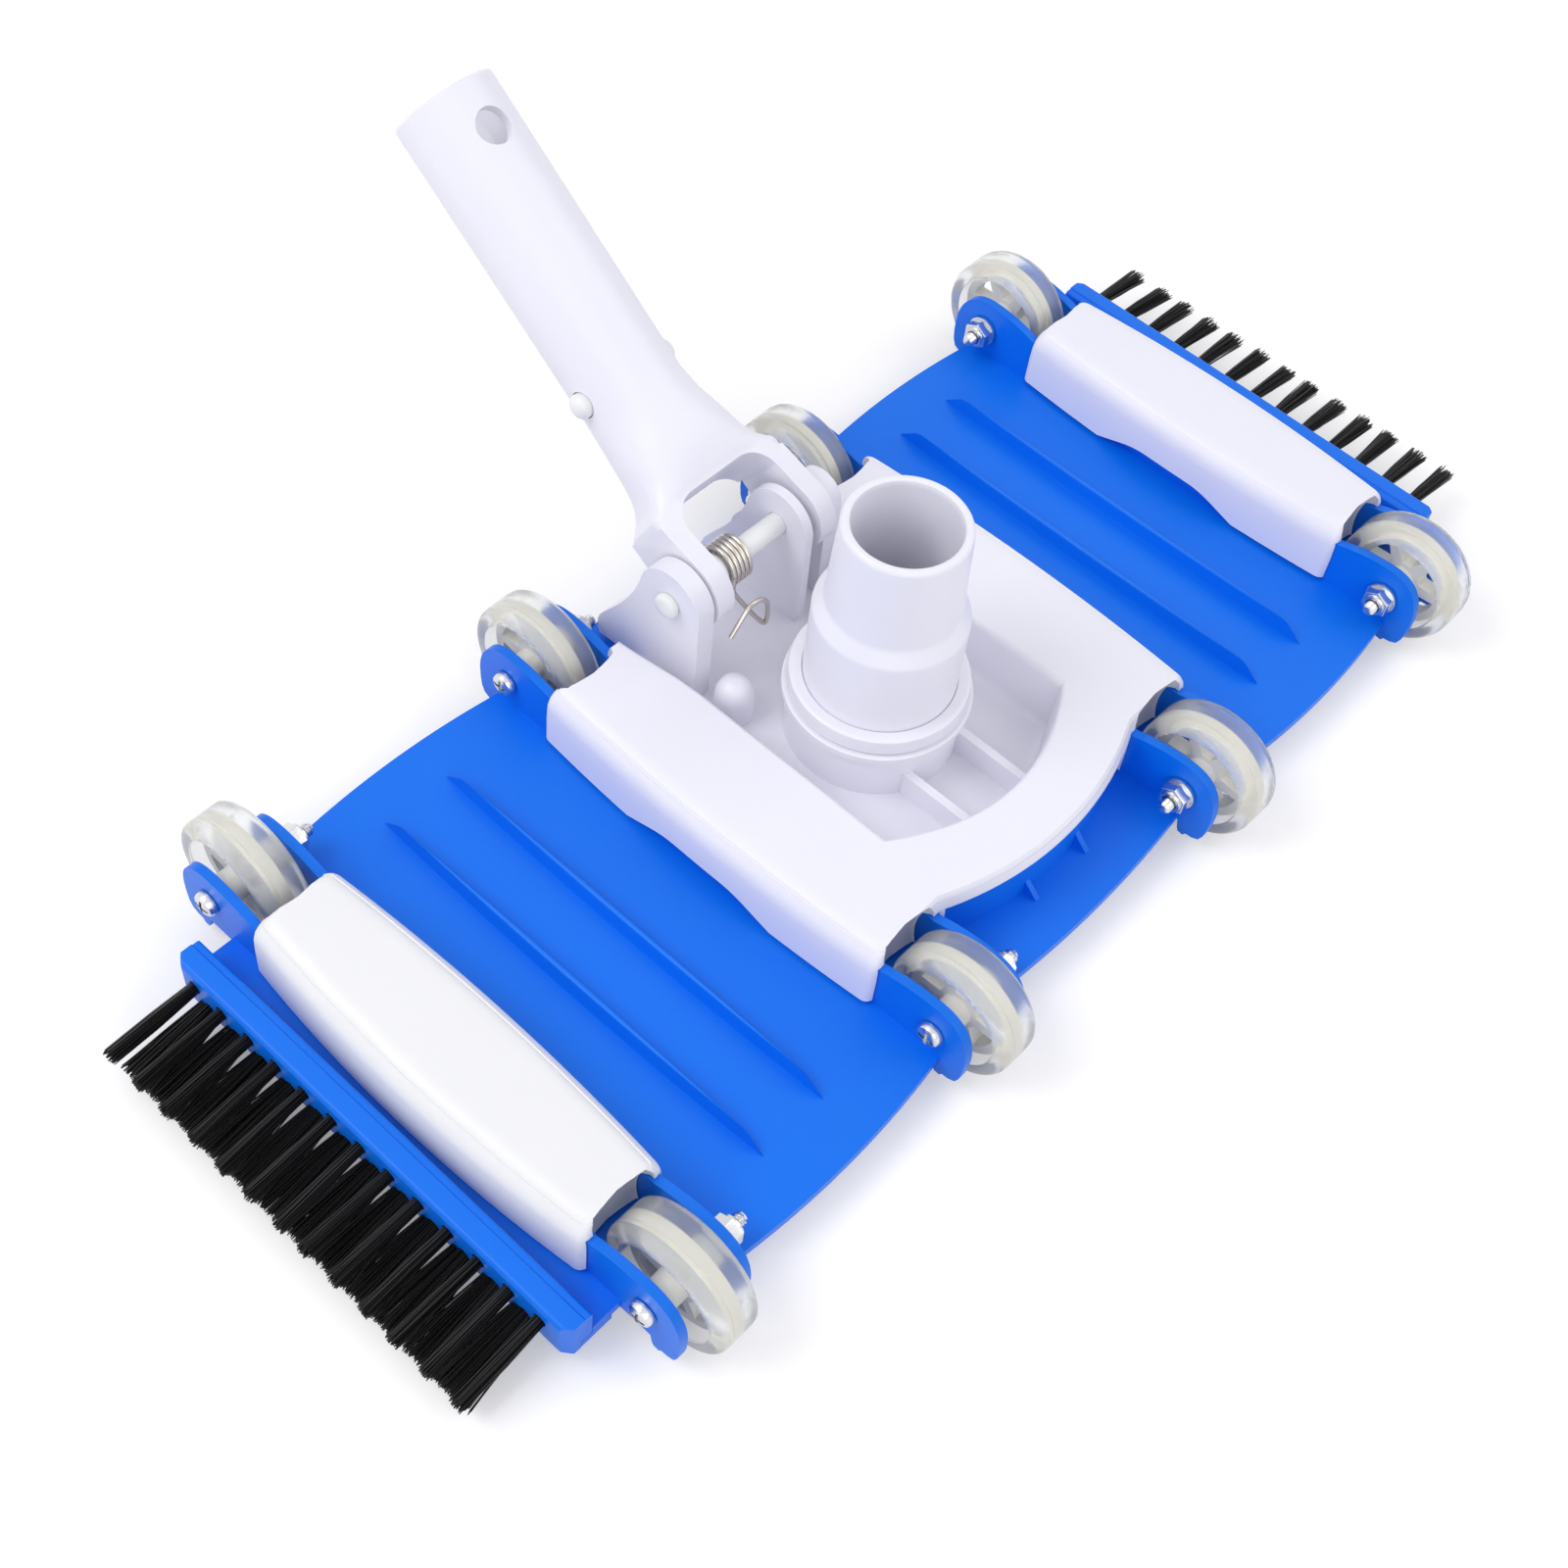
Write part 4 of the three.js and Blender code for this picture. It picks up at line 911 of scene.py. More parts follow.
@dataclass
class SideBrush:
    """A brush bar at one end of the head, with two rows of tufts."""

    shop: Workshop
    side: Side
    inner: float = 169.3
    outer: float = 177.0
    half: float = 66.7
    top: float = 20.0
    pitch: float = 9.83

    def build(self) -> None:
        """Builds the bar and its bristles."""
        sign = self.side.value
        corners = [
            (self.inner, 8.9, 0.6),
            (172.5, 8.9, 0.3),
            (172.5, 5.6, 0.4),
            (self.outer, 6.3, 1.0),
            (self.outer, 18.6, 0.3),
            (self.outer - 0.6, self.top, 0.9),
            (self.inner + 2.4, self.top, 0.2),
            (self.inner + 2.1, self.top - 0.5, 0.2),
            (self.inner, self.top - 0.5, 0.9),
        ]
        outline = [(sign * x, z) for x, z in rounded(corners, 3)]
        bar = Blank().prism(outline, Axis.Y, -self.half, self.half)
        holes = []
        for row in TUFTS[self.side]:
            for y in self.tuft_places(row.count):
                ends = sorted((sign * (self.outer - 0.9), sign * (self.outer + 3)))
                holes.append(Blank().rod(1.9, Axis.X, *ends, 14, (y, row.height)))
        ends = [self.end_chamfer(end) for end in (-1, 1)]
        bar.combined(Join.CUT, [*holes, *ends]).softened(0.45)
        label = self.side.label
        bar.piece(f"bar_{label}", self.shop.dress("head", "blue_plastic", f"brush_bar_{label}"))
        self.bristles()

    def end_chamfer(self, end: int) -> Blank:
        """Wedge cut from the bar's outer corner at one end.

        Args:
            end: -1 for the front end, 1 for the back end.

        Returns:
            The wedge.
        """
        sign = self.side.value
        corner = [(self.outer + 1, end * (self.half - 4)), (self.outer + 1, end * (self.half + 1))]
        wedge = [*corner, (self.outer - 3, end * (self.half + 1)), (self.outer, end * (self.half - 2.6))]
        return Blank().prism([(sign * x, y) for x, y in wedge], Axis.Z, 0.0, 30.0)

    def tuft_places(self, count: int) -> list[float]:
        """Places of a row's tufts along the bar."""
        return [1.0 + (i - (count - 1) / 2) * self.pitch for i in range(count)]

    def bristles(self) -> None:
        """Builds every strand of the two rows, as short tapering wires that fan out."""
        sign = self.side.value
        draw = random.Random(40 + sign)
        blank = Blank()
        for row in TUFTS[self.side]:
            for y in self.tuft_places(row.count):
                lean = draw.uniform(-0.7, 0.7)
                for _ in range(row.strands):
                    turn = draw.uniform(0, math.tau)
                    reach = math.sqrt(draw.random())
                    side, rise = reach * math.cos(turn), reach * math.sin(turn)
                    root_x = sign * (self.outer - 1.2)
                    root = (root_x, y + row.root_spread * side, row.height + 1.5 * rise)
                    end = row.tip_x + draw.uniform(-1.3, 0.5)
                    fan = row.spread + draw.uniform(-0.3, 0.3)
                    tip = (sign * end, y + lean + fan * side, max(row.tip_z + row.rise * rise, 1.0))
                    bend = draw.uniform(-0.2, 0.2)
                    middle = [(a + b) / 2 for a, b in zip(root, tip, strict=True)]
                    blank.strand([root, (middle[0], middle[1] + bend, middle[2] + bend), tip], 0.21)
        label = self.side.label
        dress = self.shop.dress("head", "bristle", f"bristles_{label}")
        blank.piece(f"tufts_{label}", dress, WIRE_SMOOTH)


@dataclass
class BasePlate:
    """The blue flexible base: panels, rails with fork lugs, ribs, front wall and end flanges."""

    shop: Workshop
    top: float = 10.5
    bottom: float = 7.5
    fork: Point2 = (8.8, 11.4)
    rail_top: float = 25.4
    lug_top: float = 28.4
    side_edge: Point2 = (77.5, 2.7)
    centre_edge: Point2 = (75.7, 2.3)
    flange: float = 66.5
    slot: float = 54.5
    rib_places: tuple[float, ...] = (-112.0, -91.0, 91.0, 112.0)
    wall_arc: tuple[float, float] = (34.4, 98.4)

    def build(self) -> None:
        """Builds the base as one moulding."""
        body = Blank().prism(self.outline(), Axis.Z, self.bottom, self.top)
        added = []
        for x in RAILS.values():
            for sign in (-1, 1):
                added.append(self.lug(*sorted((x + sign * self.fork[0], x + sign * self.fork[1]))))
        for sign in (-1, 1):
            foot = sorted((sign * 163.0, sign * 172.2))
            added.append(Blank().box(tuple(foot), (-self.flange, self.flange), (5.4, 8.0)))
        added.append(Blank().rod(24.0, Axis.Z, self.top - 1, 11.7, 64))
        added.append(self.front_wall())
        cuts = [Blank().rod(21.0, Axis.Z, 0.0, 15.5, 64)]
        for x in RAILS.values():
            for y in COVER_SCREWS_Y:
                cuts.append(Blank().rod(1.9, Axis.Z, 0.0, 12.5, 20, (x, y)))
        for y in (-WHEEL_Y, WHEEL_Y):
            cuts.append(Blank().rod(2.3, Axis.X, -170.0, 170.0, 20, (y, WHEEL_RADIUS)))
        body.combined(Join.ADD, added).combined(Join.CUT, cuts).softened(0.45, 2, 28.0)
        for x in self.rib_places:
            self.rib(body, x)
        for x in (-9.5, 11.5):
            web = [(-60.5, self.top - 1), (-60.5, 15.5), (-61.6, 15.3), (-66.2, 10.9), (-66.5, self.top - 1)]
            body.prism(web, Axis.X, x - 0.8, x + 0.8)
        body.piece("base_moulding", self.shop.dress("head", "blue_plastic", "base_plate"))

    def outline(self) -> list[Point2]:
        """Outline of the plate seen from above.

        Returns:
            The outline's points.
        """
        front = self.edge(-1)
        back = [(-x, -y) for x, y in front]
        return [*front, *back]

    def edge(self, sign: int) -> list[Point2]:
        """Half of the outline, along the front edge from left to right.

        Args:
            sign: -1 for the front edge, 1 for the back edge.

        Returns:
            The edge's points.
        """
        points: list[Point2] = [(-169.0, sign * self.flange)]
        rails = list(RAILS.values())
        for i, x in enumerate(rails):
            reach = self.flange if i == 0 else self.panel(i - 1)[0]
            near, far = x - self.fork[1], x + self.fork[1]
            inside = (x - self.fork[0], x + self.fork[0])
            edge = self.side_edge[0]
            points += [(near, sign * reach), (near, sign * edge)] if reach != edge else [(near, sign * edge)]
            points += [(inside[0], sign * edge), (inside[0], sign * self.slot)]
            points += [(inside[1], sign * self.slot), (inside[1], sign * edge)]
            if i == 3:
                points += [(far, sign * edge), (far, sign * self.flange), (169.0, sign * self.flange)]
                break
            start, bow = self.panel(i)
            points += [(far, sign * edge)] if start != edge else []
            following = rails[i + 1] - self.fork[1]
            for step in range(25):
                t = step / 24
                if step == 24 and self.panel(i)[0] == edge:
                    break
                u = far + (following - far) * t
                points.append((u, sign * (start + bow * (1 - (2 * t - 1) ** 2))))
        return points

    def panel(self, i: int) -> Point2:
        """Edge and bow of one of the three panels."""
        return self.centre_edge if i == 1 else self.side_edge

    def lug(self, low: float, high: float) -> Blank:
        """One fork wall, rounded over both wheels and hooked below.

        Args:
            low: Its first face along the head.
            high: Its other face.

        Returns:
            The wall.
        """
        hook = [(76.0, self.bottom), (76.6, 4.6), (77.2, 3.4), (78.8, 3.2), (79.5, 4.4), (81.4, 4.6)]
        foot = [(83.3, 5.6), (84.2, 7.8), (84.6, 11.0)]
        top = self.lug_top
        nose = pulled((84.7, 15.0), (84.2, top), (73.0, top), 12)
        back = pulled((72.0, top), (64.0, top - 0.2), (56.4, self.rail_top), 10)
        half = [*hook, *foot, *nose, *back]
        return Blank().prism([*half, *[(-y, z) for y, z in reversed(half)]], Axis.X, low, high)

    def front_wall(self) -> Blank:
        """The curved wall under the front edge of the centre cover.

        Returns:
            The wall.
        """
        centre, radius = self.wall_arc
        reach = math.degrees(math.asin(37.6 / radius))
        outer = arc(0.0, centre, radius - 1.6, 270 - reach, 270 + reach, 36)
        inner = arc(0.0, centre, radius - 4.0, 270 + reach, 270 - reach, 36)
        return Blank().prism([*outer, *inner], Axis.Z, self.top - 1, 26.0)

    def rib(self, body: Blank, x: float) -> None:
        """Adds a raised rib that thins out to nothing at both ends.

        Args:
            body: The blank that it joins.
            x: Its middle line.
        """

        def ring(wide: float, long: float, z: float) -> list[Point3]:
            """A pointed ring.

            Args:
                wide: Half of its width.
                long: Half of its length.
                z: Its height.

            Returns:
                The ring's points.
            """
            turns = [math.tau * i / 96 for i in range(96)]
            across = [math.sin(t) * abs(math.sin(t)) ** 0.85 * wide for t in turns]
            return [(x - u, 0.7 + math.cos(t) * long, z) for u, t in zip(across, turns, strict=True)]

        top = self.top
        levels = [(2.1, 66.4, -0.6), (1.6, 65.9, 0.15), (1.35, 65.0, 0.9), (0.95, 61.4, 3.8)]
        levels += [(0.8, 60.0, 4.6), (0.5, 58.8, 4.9), (0.2, 57.6, 5.0)]
        body.lofted([ring(wide, long, top + z) for wide, long, z in levels])


def bowed(x: float, bow: float, half: float, upwards: bool, steps: int = 16) -> list[tuple[float, ...]]:
    """Corners down a long side that bows outwards in the middle, rounded at both ends.

    Args:
        x: The side's place at its ends.
        bow: How much further out its middle is.
        half: Half of its length.
        upwards: Whether it runs towards the back.
        steps: Straight steps.

    Returns:
        The corners, the first and the last with a radius.
    """
    shares = [i / steps if upwards else 1 - i / steps for i in range(steps + 1)]
    places = [-half + 2 * half * share for share in shares]
    return [
        (x + bow * (1 - (y / half) ** 2), y, 0.0 if 0 < i < steps else 2.4) for i, y in enumerate(places)
    ]


@dataclass
class RailCover:
    """Shapes shared by the white covers over the rails."""

    low: float = 11.8
    high: float = 31.0
    ceiling: float = 28.9
    half: float = 56.0
    fork: Point2 = (8.5, 11.7)
    rail_top: float = 25.7

    def levels(self) -> list[tuple[float, float, float]]:
        """Heights of the wall and its broad rounding, each with the inset of a long side and of an end.

        Returns:
            Rows of a height and its two insets.
        """
        wall = [(self.low, 0.0, 0.0), (20.0, 0.1, 0.0), (24.5, 0.3, 0.1), (26.5, 0.75, 0.3)]
        crease = [(28.0, 1.5, 0.6), (29.0, 2.3, 0.9), (29.45, 2.7, 1.0), (29.25, 3.0, 1.1)]
        return [*wall, *crease, (30.0, 3.5, 1.3), (30.55, 4.7, 1.7), (self.high, 6.6, 2.0)]

    def scoops(self, x: float) -> list[Blank]:
        """Clearance for both wheels of a rail.

        Args:
            x: Middle of the rail.

        Returns:
            The clearances to cut.
        """
        half = [(24.1, 0.0), (23.85, 3.0), (23.5, 5.8), (23.0, 8.2), (20.9, 9.6), (0.0, 9.6)]
        profile = [*[(r, x - w) for r, w in reversed(half[1:])], *[(r, x + w) for r, w in half]]
        return [Blank().turned(profile, Axis.X, 96, (y, WHEEL_RADIUS)) for y in (-WHEEL_Y, WHEEL_Y)]

    def hollows(self, x: float) -> list[Blank]:
        """Space over a rail and round its fork walls.

        Args:
            x: Middle of the rail.

        Returns:
            The spaces to cut.
        """
        inner, outer = self.fork
        made = [
            Blank().box((x - outer, x + outer), (-47.5, 47.5), (5.0, self.rail_top)),
            Blank().box((x - inner, x + inner), (-47.5, 47.5), (5.0, self.ceiling)),
        ]
        for end in (-1, 1):
            for sign in (-1, 1):
                wide = tuple(sorted((x + sign * inner, x + sign * outer)))
                made.append(Blank().box(wide, tuple(sorted((end * 47.0, end * 60.0))), (5.0, self.rail_top)))
        return made

    def bosses(self, x: float) -> list[Blank]:
        """Screw bosses under the cover."""
        return [Blank().rod(3.4, Axis.Z, 10.8, self.ceiling + 0.5, 24, (x, y)) for y in COVER_SCREWS_Y]

    def pilots(self, x: float) -> list[Blank]:
        """Screw holes in the bosses."""
        return [Blank().rod(1.9, Axis.Z, 5.0, 22.0, 16, (x, y)) for y in COVER_SCREWS_Y]

    def arch(self, low: float, high: float) -> Blank:
        """Shallow arch in the lower edge of a long wall."""
        corners = [(-25, 5), (-25, self.low), (-12, 16.6, 26), (12, 16.6, 26), (25, self.low), (25, 5)]
        return Blank().prism(rounded(corners, 10), Axis.X, low, high)


@dataclass
class EndCover(RailCover):
    """The white cover over an outer rail."""

    shop: Workshop | None = None
    side: Side = Side.LEFT

    def build(self) -> None:
        """Builds the cover."""
        sign = self.side.value
        rings = []
        for z, aside, inset in self.levels():
            half, share = self.half - inset, aside / 6.6
            outer = bowed(162.4 - aside, 3.6 - 1.5 * share, half, True)
            inner = bowed(135.9 + aside, -2.6 + 0.8 * share, half, False)
            rings.append([(sign * x, y, z) for x, y in rounded([*outer, *inner], 5)])
        x = RAILS[f"outer_{self.side.label}"]
        cover = Blank().lofted(rings)
        cover.combined(Join.CUT, self.hollows(x)).combined(Join.ADD, self.bosses(x))
        arch = self.arch(*sorted((sign * 130.0, sign * 137.6)))
        cover.combined(Join.CUT, [*self.scoops(x), *self.pilots(x), arch])
        cover.softened(0.5, 2, 40.0)
        label = self.side.label
        finish = "warm_white" if self.side is Side.LEFT else None
        dress = self.shop.dress("head", "white_plastic", f"end_cover_{label}", finish=finish)
        cover.piece(f"end_cap_{label}", dress)


@dataclass
class CentreCover(RailCover):
    """The white centre cover with its pan, hose socket and clevis ears."""

    shop: Workshop | None = None
    floor: float = 14.0
    underside: float = 12.0
    pivot: Point2 = (47.9, 45.8)
    longer: float = 1.04
    pan_half: float = 38.2
    pan_back: float = 66.6
    front: tuple[float, float] = (34.4, 98.4)

    def build(self) -> None:
        """Builds the cover as one moulding."""
        rails = (RAILS["inner_left"], RAILS["inner_right"])
        shell = Blank().lofted(self.shell_rings())
        hollows = [*self.front_hollow(), *[part for x in rails for part in self.hollows(x)]]
        shell.combined(Join.CUT, hollows).combined(Join.ADD, [self.pan_block(), self.pan_floor()])
        shell.combined(Join.CUT, [self.pan_recess()])
        bosses = [part for x in rails for part in self.bosses(x)]
        shell.combined(Join.ADD, [*bosses, *self.pan_ribs(), *self.domes()])
        shell.combined(Join.CUT, [Blank().rod(20.5, Axis.Z, 5.0, 40.0, 72)])
        shell.combined(Join.ADD, [self.socket(), *self.ears()])
        cuts = [part for x in rails for part in [*self.scoops(x), *self.pilots(x)]]
        cuts += [self.arch(-75.0, -62.4), self.arch(62.4, 75.0)]
        shell.combined(Join.CUT, cuts).softened(0.5, 2, 30.0)
        shell.piece("centre_housing", self.shop.dress("head", "white_plastic", "centre_cover"))

    def shell_rings(self) -> list[list[Point3]]:
        """Rings of the outer shell from its foot to its top.

        Returns:
            The rings.
        """
        rings = []
        centre, radius = self.front
        reach = math.degrees(math.asin(40 / radius))
        for z, aside, inset in self.levels():
            right = bowed(64.6 - aside, 2.7 - aside / 6.6, self.half - inset, True)
            left = [(-u, v, corner) for u, v, corner in reversed(right)]
            front = arc(0.0, centre, radius - inset, 270 - reach, 270 + reach, 36)
            corners = rounded([*right, *left, *front], 5)
            rings.append([(u, v * self.longer if v > 0 else v, z) for u, v in corners])
        return rings

    def front_hollow(self) -> list[Blank]:
        """Space under the front edge.

        Returns:
            The spaces to cut.
        """
        centre, radius = self.front
        reach = math.degrees(math.asin(38 / radius))
        inside = arc(0.0, centre, radius - 4.4, 270 - reach, 270 + reach, 36)
        high = Blank().prism([*inside, (38.0, 70.0), (-38.0, 70.0)], Axis.Z, 5.0, self.ceiling)
        return [high, Blank().box((-38.0, 38.0), (-70.0, -30.0), (5.0, 26.3))]

    def pan_block(self) -> Blank:
        """The block that the pan is sunk into.

        Returns:
            The block.
        """
        half = self.pan_half
        places = [-half + 2 * half * i / 24 for i in range(25)]
        front = [(u, -49 + 11.5 * (u / half) ** 2) for u in places]
        outline = [*front, (half, 48.0), (-half, 48.0)]
        return Blank().prism(outline, Axis.Z, self.underside, self.ceiling + 0.5)

    def pan_floor(self) -> Blank:
        """The floor behind the block, round at its back edge.

        Returns:
            The floor.
        """
        half = self.pan_half
        reach = math.degrees(math.asin(half / self.pan_back))
        back = arc(0.0, -0.6, self.pan_back, 90 - reach, 90 + reach, 36)
        return Blank().prism([(-half, 30.0), (half, 30.0), *back], Axis.Z, self.underside, self.floor)

    def pan_recess(self) -> Blank:
        """The dished space: straight sides, a curved front and sides that open to the back.

        Returns:
            The space to cut.
        """
        flare = ((30, 0), (38, 0.6), (45, 1.5), (51, 2.3), (56, 2.8), (76, 4))

        def ring(x: float, front_y: float, z: float, inset: float = 0.0) -> list[Point3]:
            """One level of the recess.

            Args:
                x: Half of its width at the front.
                front_y: Its foremost point.
                z: Its height.
                inset: How much smaller it is all round.

            Returns:
                The level's points.
            """
            x, front_y = x - inset, front_y + inset
            right = [(x, -34.0 + inset), *[(x + grow, float(y)) for y, grow in flare]]
            left = [(-u, v) for u, v in reversed(right)]
            places = [-x + 2 * x * (i + 1) / 24 for i in range(23)]
            front = [(u, front_y + (-34 + inset - front_y) * (u / x) ** 2) for u in places]
            return [(u, v, z) for u, v in [*right, *left, *front]]

        return Blank().lofted(
            [
                ring(33.6, -43.6, self.floor, 2.2),
                ring(33.6, -43.6, self.floor + 0.3, 1.1),
                ring(33.65, -43.65, self.floor + 1.1, 0.3),
                ring(33.75, -43.75, self.floor + 2.2),
                ring(35.2, -45.6, 29.0),
                ring(35.5, -45.9, 30.0),
                ring(36.1, -46.5, 30.7),
                ring(37.0, -47.4, self.high + 0.05),
                ring(37.2, -47.6, self.high + 2),
            ]
        )

    def pan_ribs(self) -> list[Blank]:
        """Two ribs ahead of the socket.

        Returns:
            The ribs.
        """
        return [
            Blank().box((x - 1.2, x + 1.2), (-46.2, -20.5), (self.floor - 0.5, 22.0)) for x in (-10.5, 10.5)
        ]

    def domes(self) -> list[Blank]:
        """Two domed bosses behind the socket.

        Returns:
            The bosses.
        """
        profile = [(0.0, 13.5), (5.6, 13.5), (5.45, 21.5), (5.2, 23.2), (4.5, 25.0), (3.4, 26.2)]
        profile += [(2.0, 26.9), (0.8, 27.1), (0.0, 27.1)]
        return [Blank().turned(profile, Axis.Z, 40, (x, 28.1)) for x in (-23.8, 23.8)]

    def socket(self) -> Blank:
        """The hose socket with its flange.

        Returns:
            The socket.
        """
        outside = [(18.5, 12.0), (23.5, 12.0), (23.5, 28.2), (23.9, 28.8), (24.9, 29.0), (25.2, 29.4)]
        inside = [(25.2, 31.2), (24.8, 31.6), (22.2, 31.6), (22.2, 24.0), (18.5, 24.0), (18.5, 12.0)]
        return Blank().turned([*outside, *inside], Axis.Z, 80)

    def ears(self) -> list[Blank]:
        """The clevis ears: one outside the left arm, and one on each side of the right arm.

        Returns:
            The ears.
        """
        y, z = self.pivot
        tail = [(71.4, 22.4), (72.9, 20.0), (73.6, 17.8), (73.6, 14.6), (72.6, 12.6), (60.0, 13.2)]
        made = []
        for low, high, radius in ((-29.4, -23.5, 10.4), (11.4, 14.4, 10.4), (23.5, 29.4, 7.2)):
            crown = arc(y + 0.2, z, radius, 180, 12, 28)
            end = crown[-1]
            back = pulled(end, (end[0] + 1.9, end[1] - 9.0), (66.2, 29.8), 12)[1:]
            plate = Blank().prism([(crown[0][0] - 0.4, 13.2), *crown, *back, *tail], Axis.X, low, high)
            hole = Blank().rod(3.3, Axis.X, -40.0, 40.0, 32, self.pivot)
            made.append(plate.combined(Join.CUT, [hole]))
        return made


@dataclass
class PoleHandle:
    """The sprung handle: tube, yoke, buttons, pivot pin and torsion spring."""

    shop: Workshop
    tilt: float = 36.66
    end: Point3 = (0.0, 161.5, 121.15)
    tube: float = 14.6
    bore: float = 11.6
    reach: float = 136.1
    rise: float = 7.4
    yoke: float = 9.3
    arm: Point2 = (16.8, 22.7)
    pivot: Point2 = (47.9, 45.8)
    button_reach: float = 82.5
    button_slot: Point2 = (9.0, 13.9)
    coil_radius: float = 5.8
    coil_turns: float = 4.5
    coil_steps: int = 24
    coil_pitch: float = 1.52
    coil_start: float = -11.4
    wire: float = 0.72

    def build(self) -> None:
        """Builds the handle and what it carries."""
        self.body()
        for side in Side:
            self.button(side)
        self.pin()
        self.spring()

    @property
    def tilted(self) -> Matrix:
        """From the handle's own layout, open end at the origin and drawn along -Y, to its place."""
        return Matrix.Translation(self.end) @ Matrix.Rotation(math.radians(self.tilt), 4, "X")

    def body(self) -> None:
        """Builds the tube that flares into the yoke's two arms."""
        sections = [
            [0.0, 13.6, 0.0, 2.0, 0.0],
            [0.25, 14.2, 0.0, 2.0, 0.0],
            [0.8, self.tube, 0.0, 2.0, 0.0],
            [60.0, self.tube, 0.0, 2.0, 0.0],
            [88.0, self.tube, 0.0, 2.0, 0.0],
        ]
        rings = [self.section(reach, wide, wide, *rest) for reach, wide, *rest in sections]
        flare = [
            [88.0, self.tube, self.tube, 0.0, 2.0, 0.0],
            [95.0, 15.4, 14.1, 0.9, 2.1, 0.04],
            [101.0, 16.5, 13.2, 2.3, 2.3, 0.08],
            [106.5, 17.4, 12.2, 3.4, 2.6, 0.12],
            [111.0, 18.3, 11.1, 3.8, 3.2, 0.16],
            [114.4, 19.8, 10.2, 3.8, 4.5, 0.16],
            [116.6, 21.6, 9.5, 3.8, 7.0, 0.16],
            [118.0, 22.7, 9.3, 4.0, 10.0, 0.16],
            [124.0, 22.7, 9.3, 4.9, 10.0, 0.16],
        ]
        rings += [self.section(*row) for row in between(flare, 4)[1:]]
        body = Blank().lofted(rings)
        body.combined(Join.CUT, [Blank().box((-40.0, 40.0), (-160.0, -122.5), (-30.0, 40.0))])
        body.combined(Join.ADD, [self.arm_plate(-1), self.arm_plate(1)])
        half = self.arm[0]
        corners = [(-half, -24), (half, -24), (half, 19.4, 8), (-half, 19.4, 8)]
        window = Blank().prism(rounded(corners, 10), Axis.Z, -40.0, 40.0)
        swung = Matrix.Rotation(-math.radians(self.yoke), 4, "X")
        yoke = Matrix.Translation((0.0, -self.reach, self.rise)) @ swung
        cuts = [
            window.moved(yoke),
            Blank().rod(self.bore, Axis.Y, -106.0, 4.0, 64),
            Blank().rod(5.0, Axis.Z, 0.0, 20.0, 48, (0.0, -13.5)),
            Blank().box((-10.0, 10.0), (-22.0, -4.0), (-20.0, -5.0)),
            Blank().rod(3.8, Axis.X, -20.0, 20.0, 32, (-self.button_reach, 0.0)),
            Blank().rod(3.4, Axis.X, -40.0, 40.0, 32, (-self.reach, self.rise)),
        ]
        body.combined(Join.CUT, cuts).softened(1.1, 4, 35.0)
        body.moved(self.tilted)
        body.piece("yoke_handle", self.shop.dress("pole_handle", "white_plastic", "handle"))

    def section(
        self, reach: float, wide: float, high: float, rise: float, square: float, lean: float
    ) -> list[Point3]:
        """A ring of the tube or flare at a distance from the open end.

        Args:
            reach: Distance from the open end.
            wide: Half of its width.
            high: Half of its height.
            rise: How far it lies above the tube's axis.
            square: 2 for an ellipse, more for a squarer ring.
            lean: How far it leans for its height.

        Returns:
            The ring.
        """
        points = []
        for i in range(64):
            turn = math.tau * i / 64
            across, upward = math.cos(turn), math.sin(turn)
            u = wide * math.copysign(abs(across) ** (2 / square), across)
            v = high * math.copysign(abs(upward) ** (2 / square), upward)
            points.append((u, -reach + lean * v, rise + v))
        return points

    def arm_plate(self, sign: int) -> Blank:
        """One arm of the yoke, round at the pivot.

        Args:
            sign: -1 for the left arm, 1 for the right arm.

        Returns:
            The arm.
        """
        quarter = 90 - self.yoke
        tip = arc(-self.reach, self.rise, 11.0, quarter, quarter + 180, 28)
        outline = [(-119.5, -4.5), (-119.0, 13.0), *tip]
        return Blank().prism(outline, Axis.X, *sorted((sign * self.arm[0], sign * self.arm[1])))

    def button(self, side: Side) -> None:
        """Builds a locking button, slotted so that it straddles the clip spring when it is pressed.

        Args:
            side: The side of the handle that it is on.
        """
        foot = [(0.0, 9.3), (4.6, 9.3), (4.6, 10.2), (3.5, 10.3)]
        ends = sorted(side.value * x for x in self.button_slot)
        slot = Blank().box((ends[0], ends[1]), (-90.0, -75.0), (-3.1, 3.1))
        dome = [(3.5, 15.4), (3.3, 16.1), (2.7, 16.8), (1.9, 17.3), (1.0, 17.55), (0.0, 17.6)]
        profile = [(r, side.value * x) for r, x in [*foot, *dome]]
        knob = Blank().turned(profile, Axis.X, 32, (-self.button_reach, 0.0))
        knob.combined(Join.CUT, [slot]).moved(self.tilted)
        label = side.label
        knob.piece(f"button_{label}", self.shop.dress(f"button_{label}", "nylon", f"clip_button_{label}"))

    def pin(self) -> None:
        """Builds the nylon pivot pin with its domed heads and the spacer beside the spring."""
        head = [(3.15, 29.7), (3.4, 29.7), (3.6, 30.0), (3.6, 31.0), (3.4, 31.5), (2.9, 31.85), (1.9, 32.1)]
        head += [(0.9, 32.2), (0.0, 32.2)]
        spacer = [(3.15, -16.6), (4.9, -16.6), (5.1, -16.4), (5.1, -12.5), (4.9, -12.3), (3.15, -12.3)]
        profile = [*[(r, -x) for r, x in reversed(head)], *spacer, *head]
        pin = Blank().turned(profile, Axis.X, 32, self.pivot)
        pin.piece("nylon_pin", self.shop.dress("head", "nylon", "pivot_pin"))

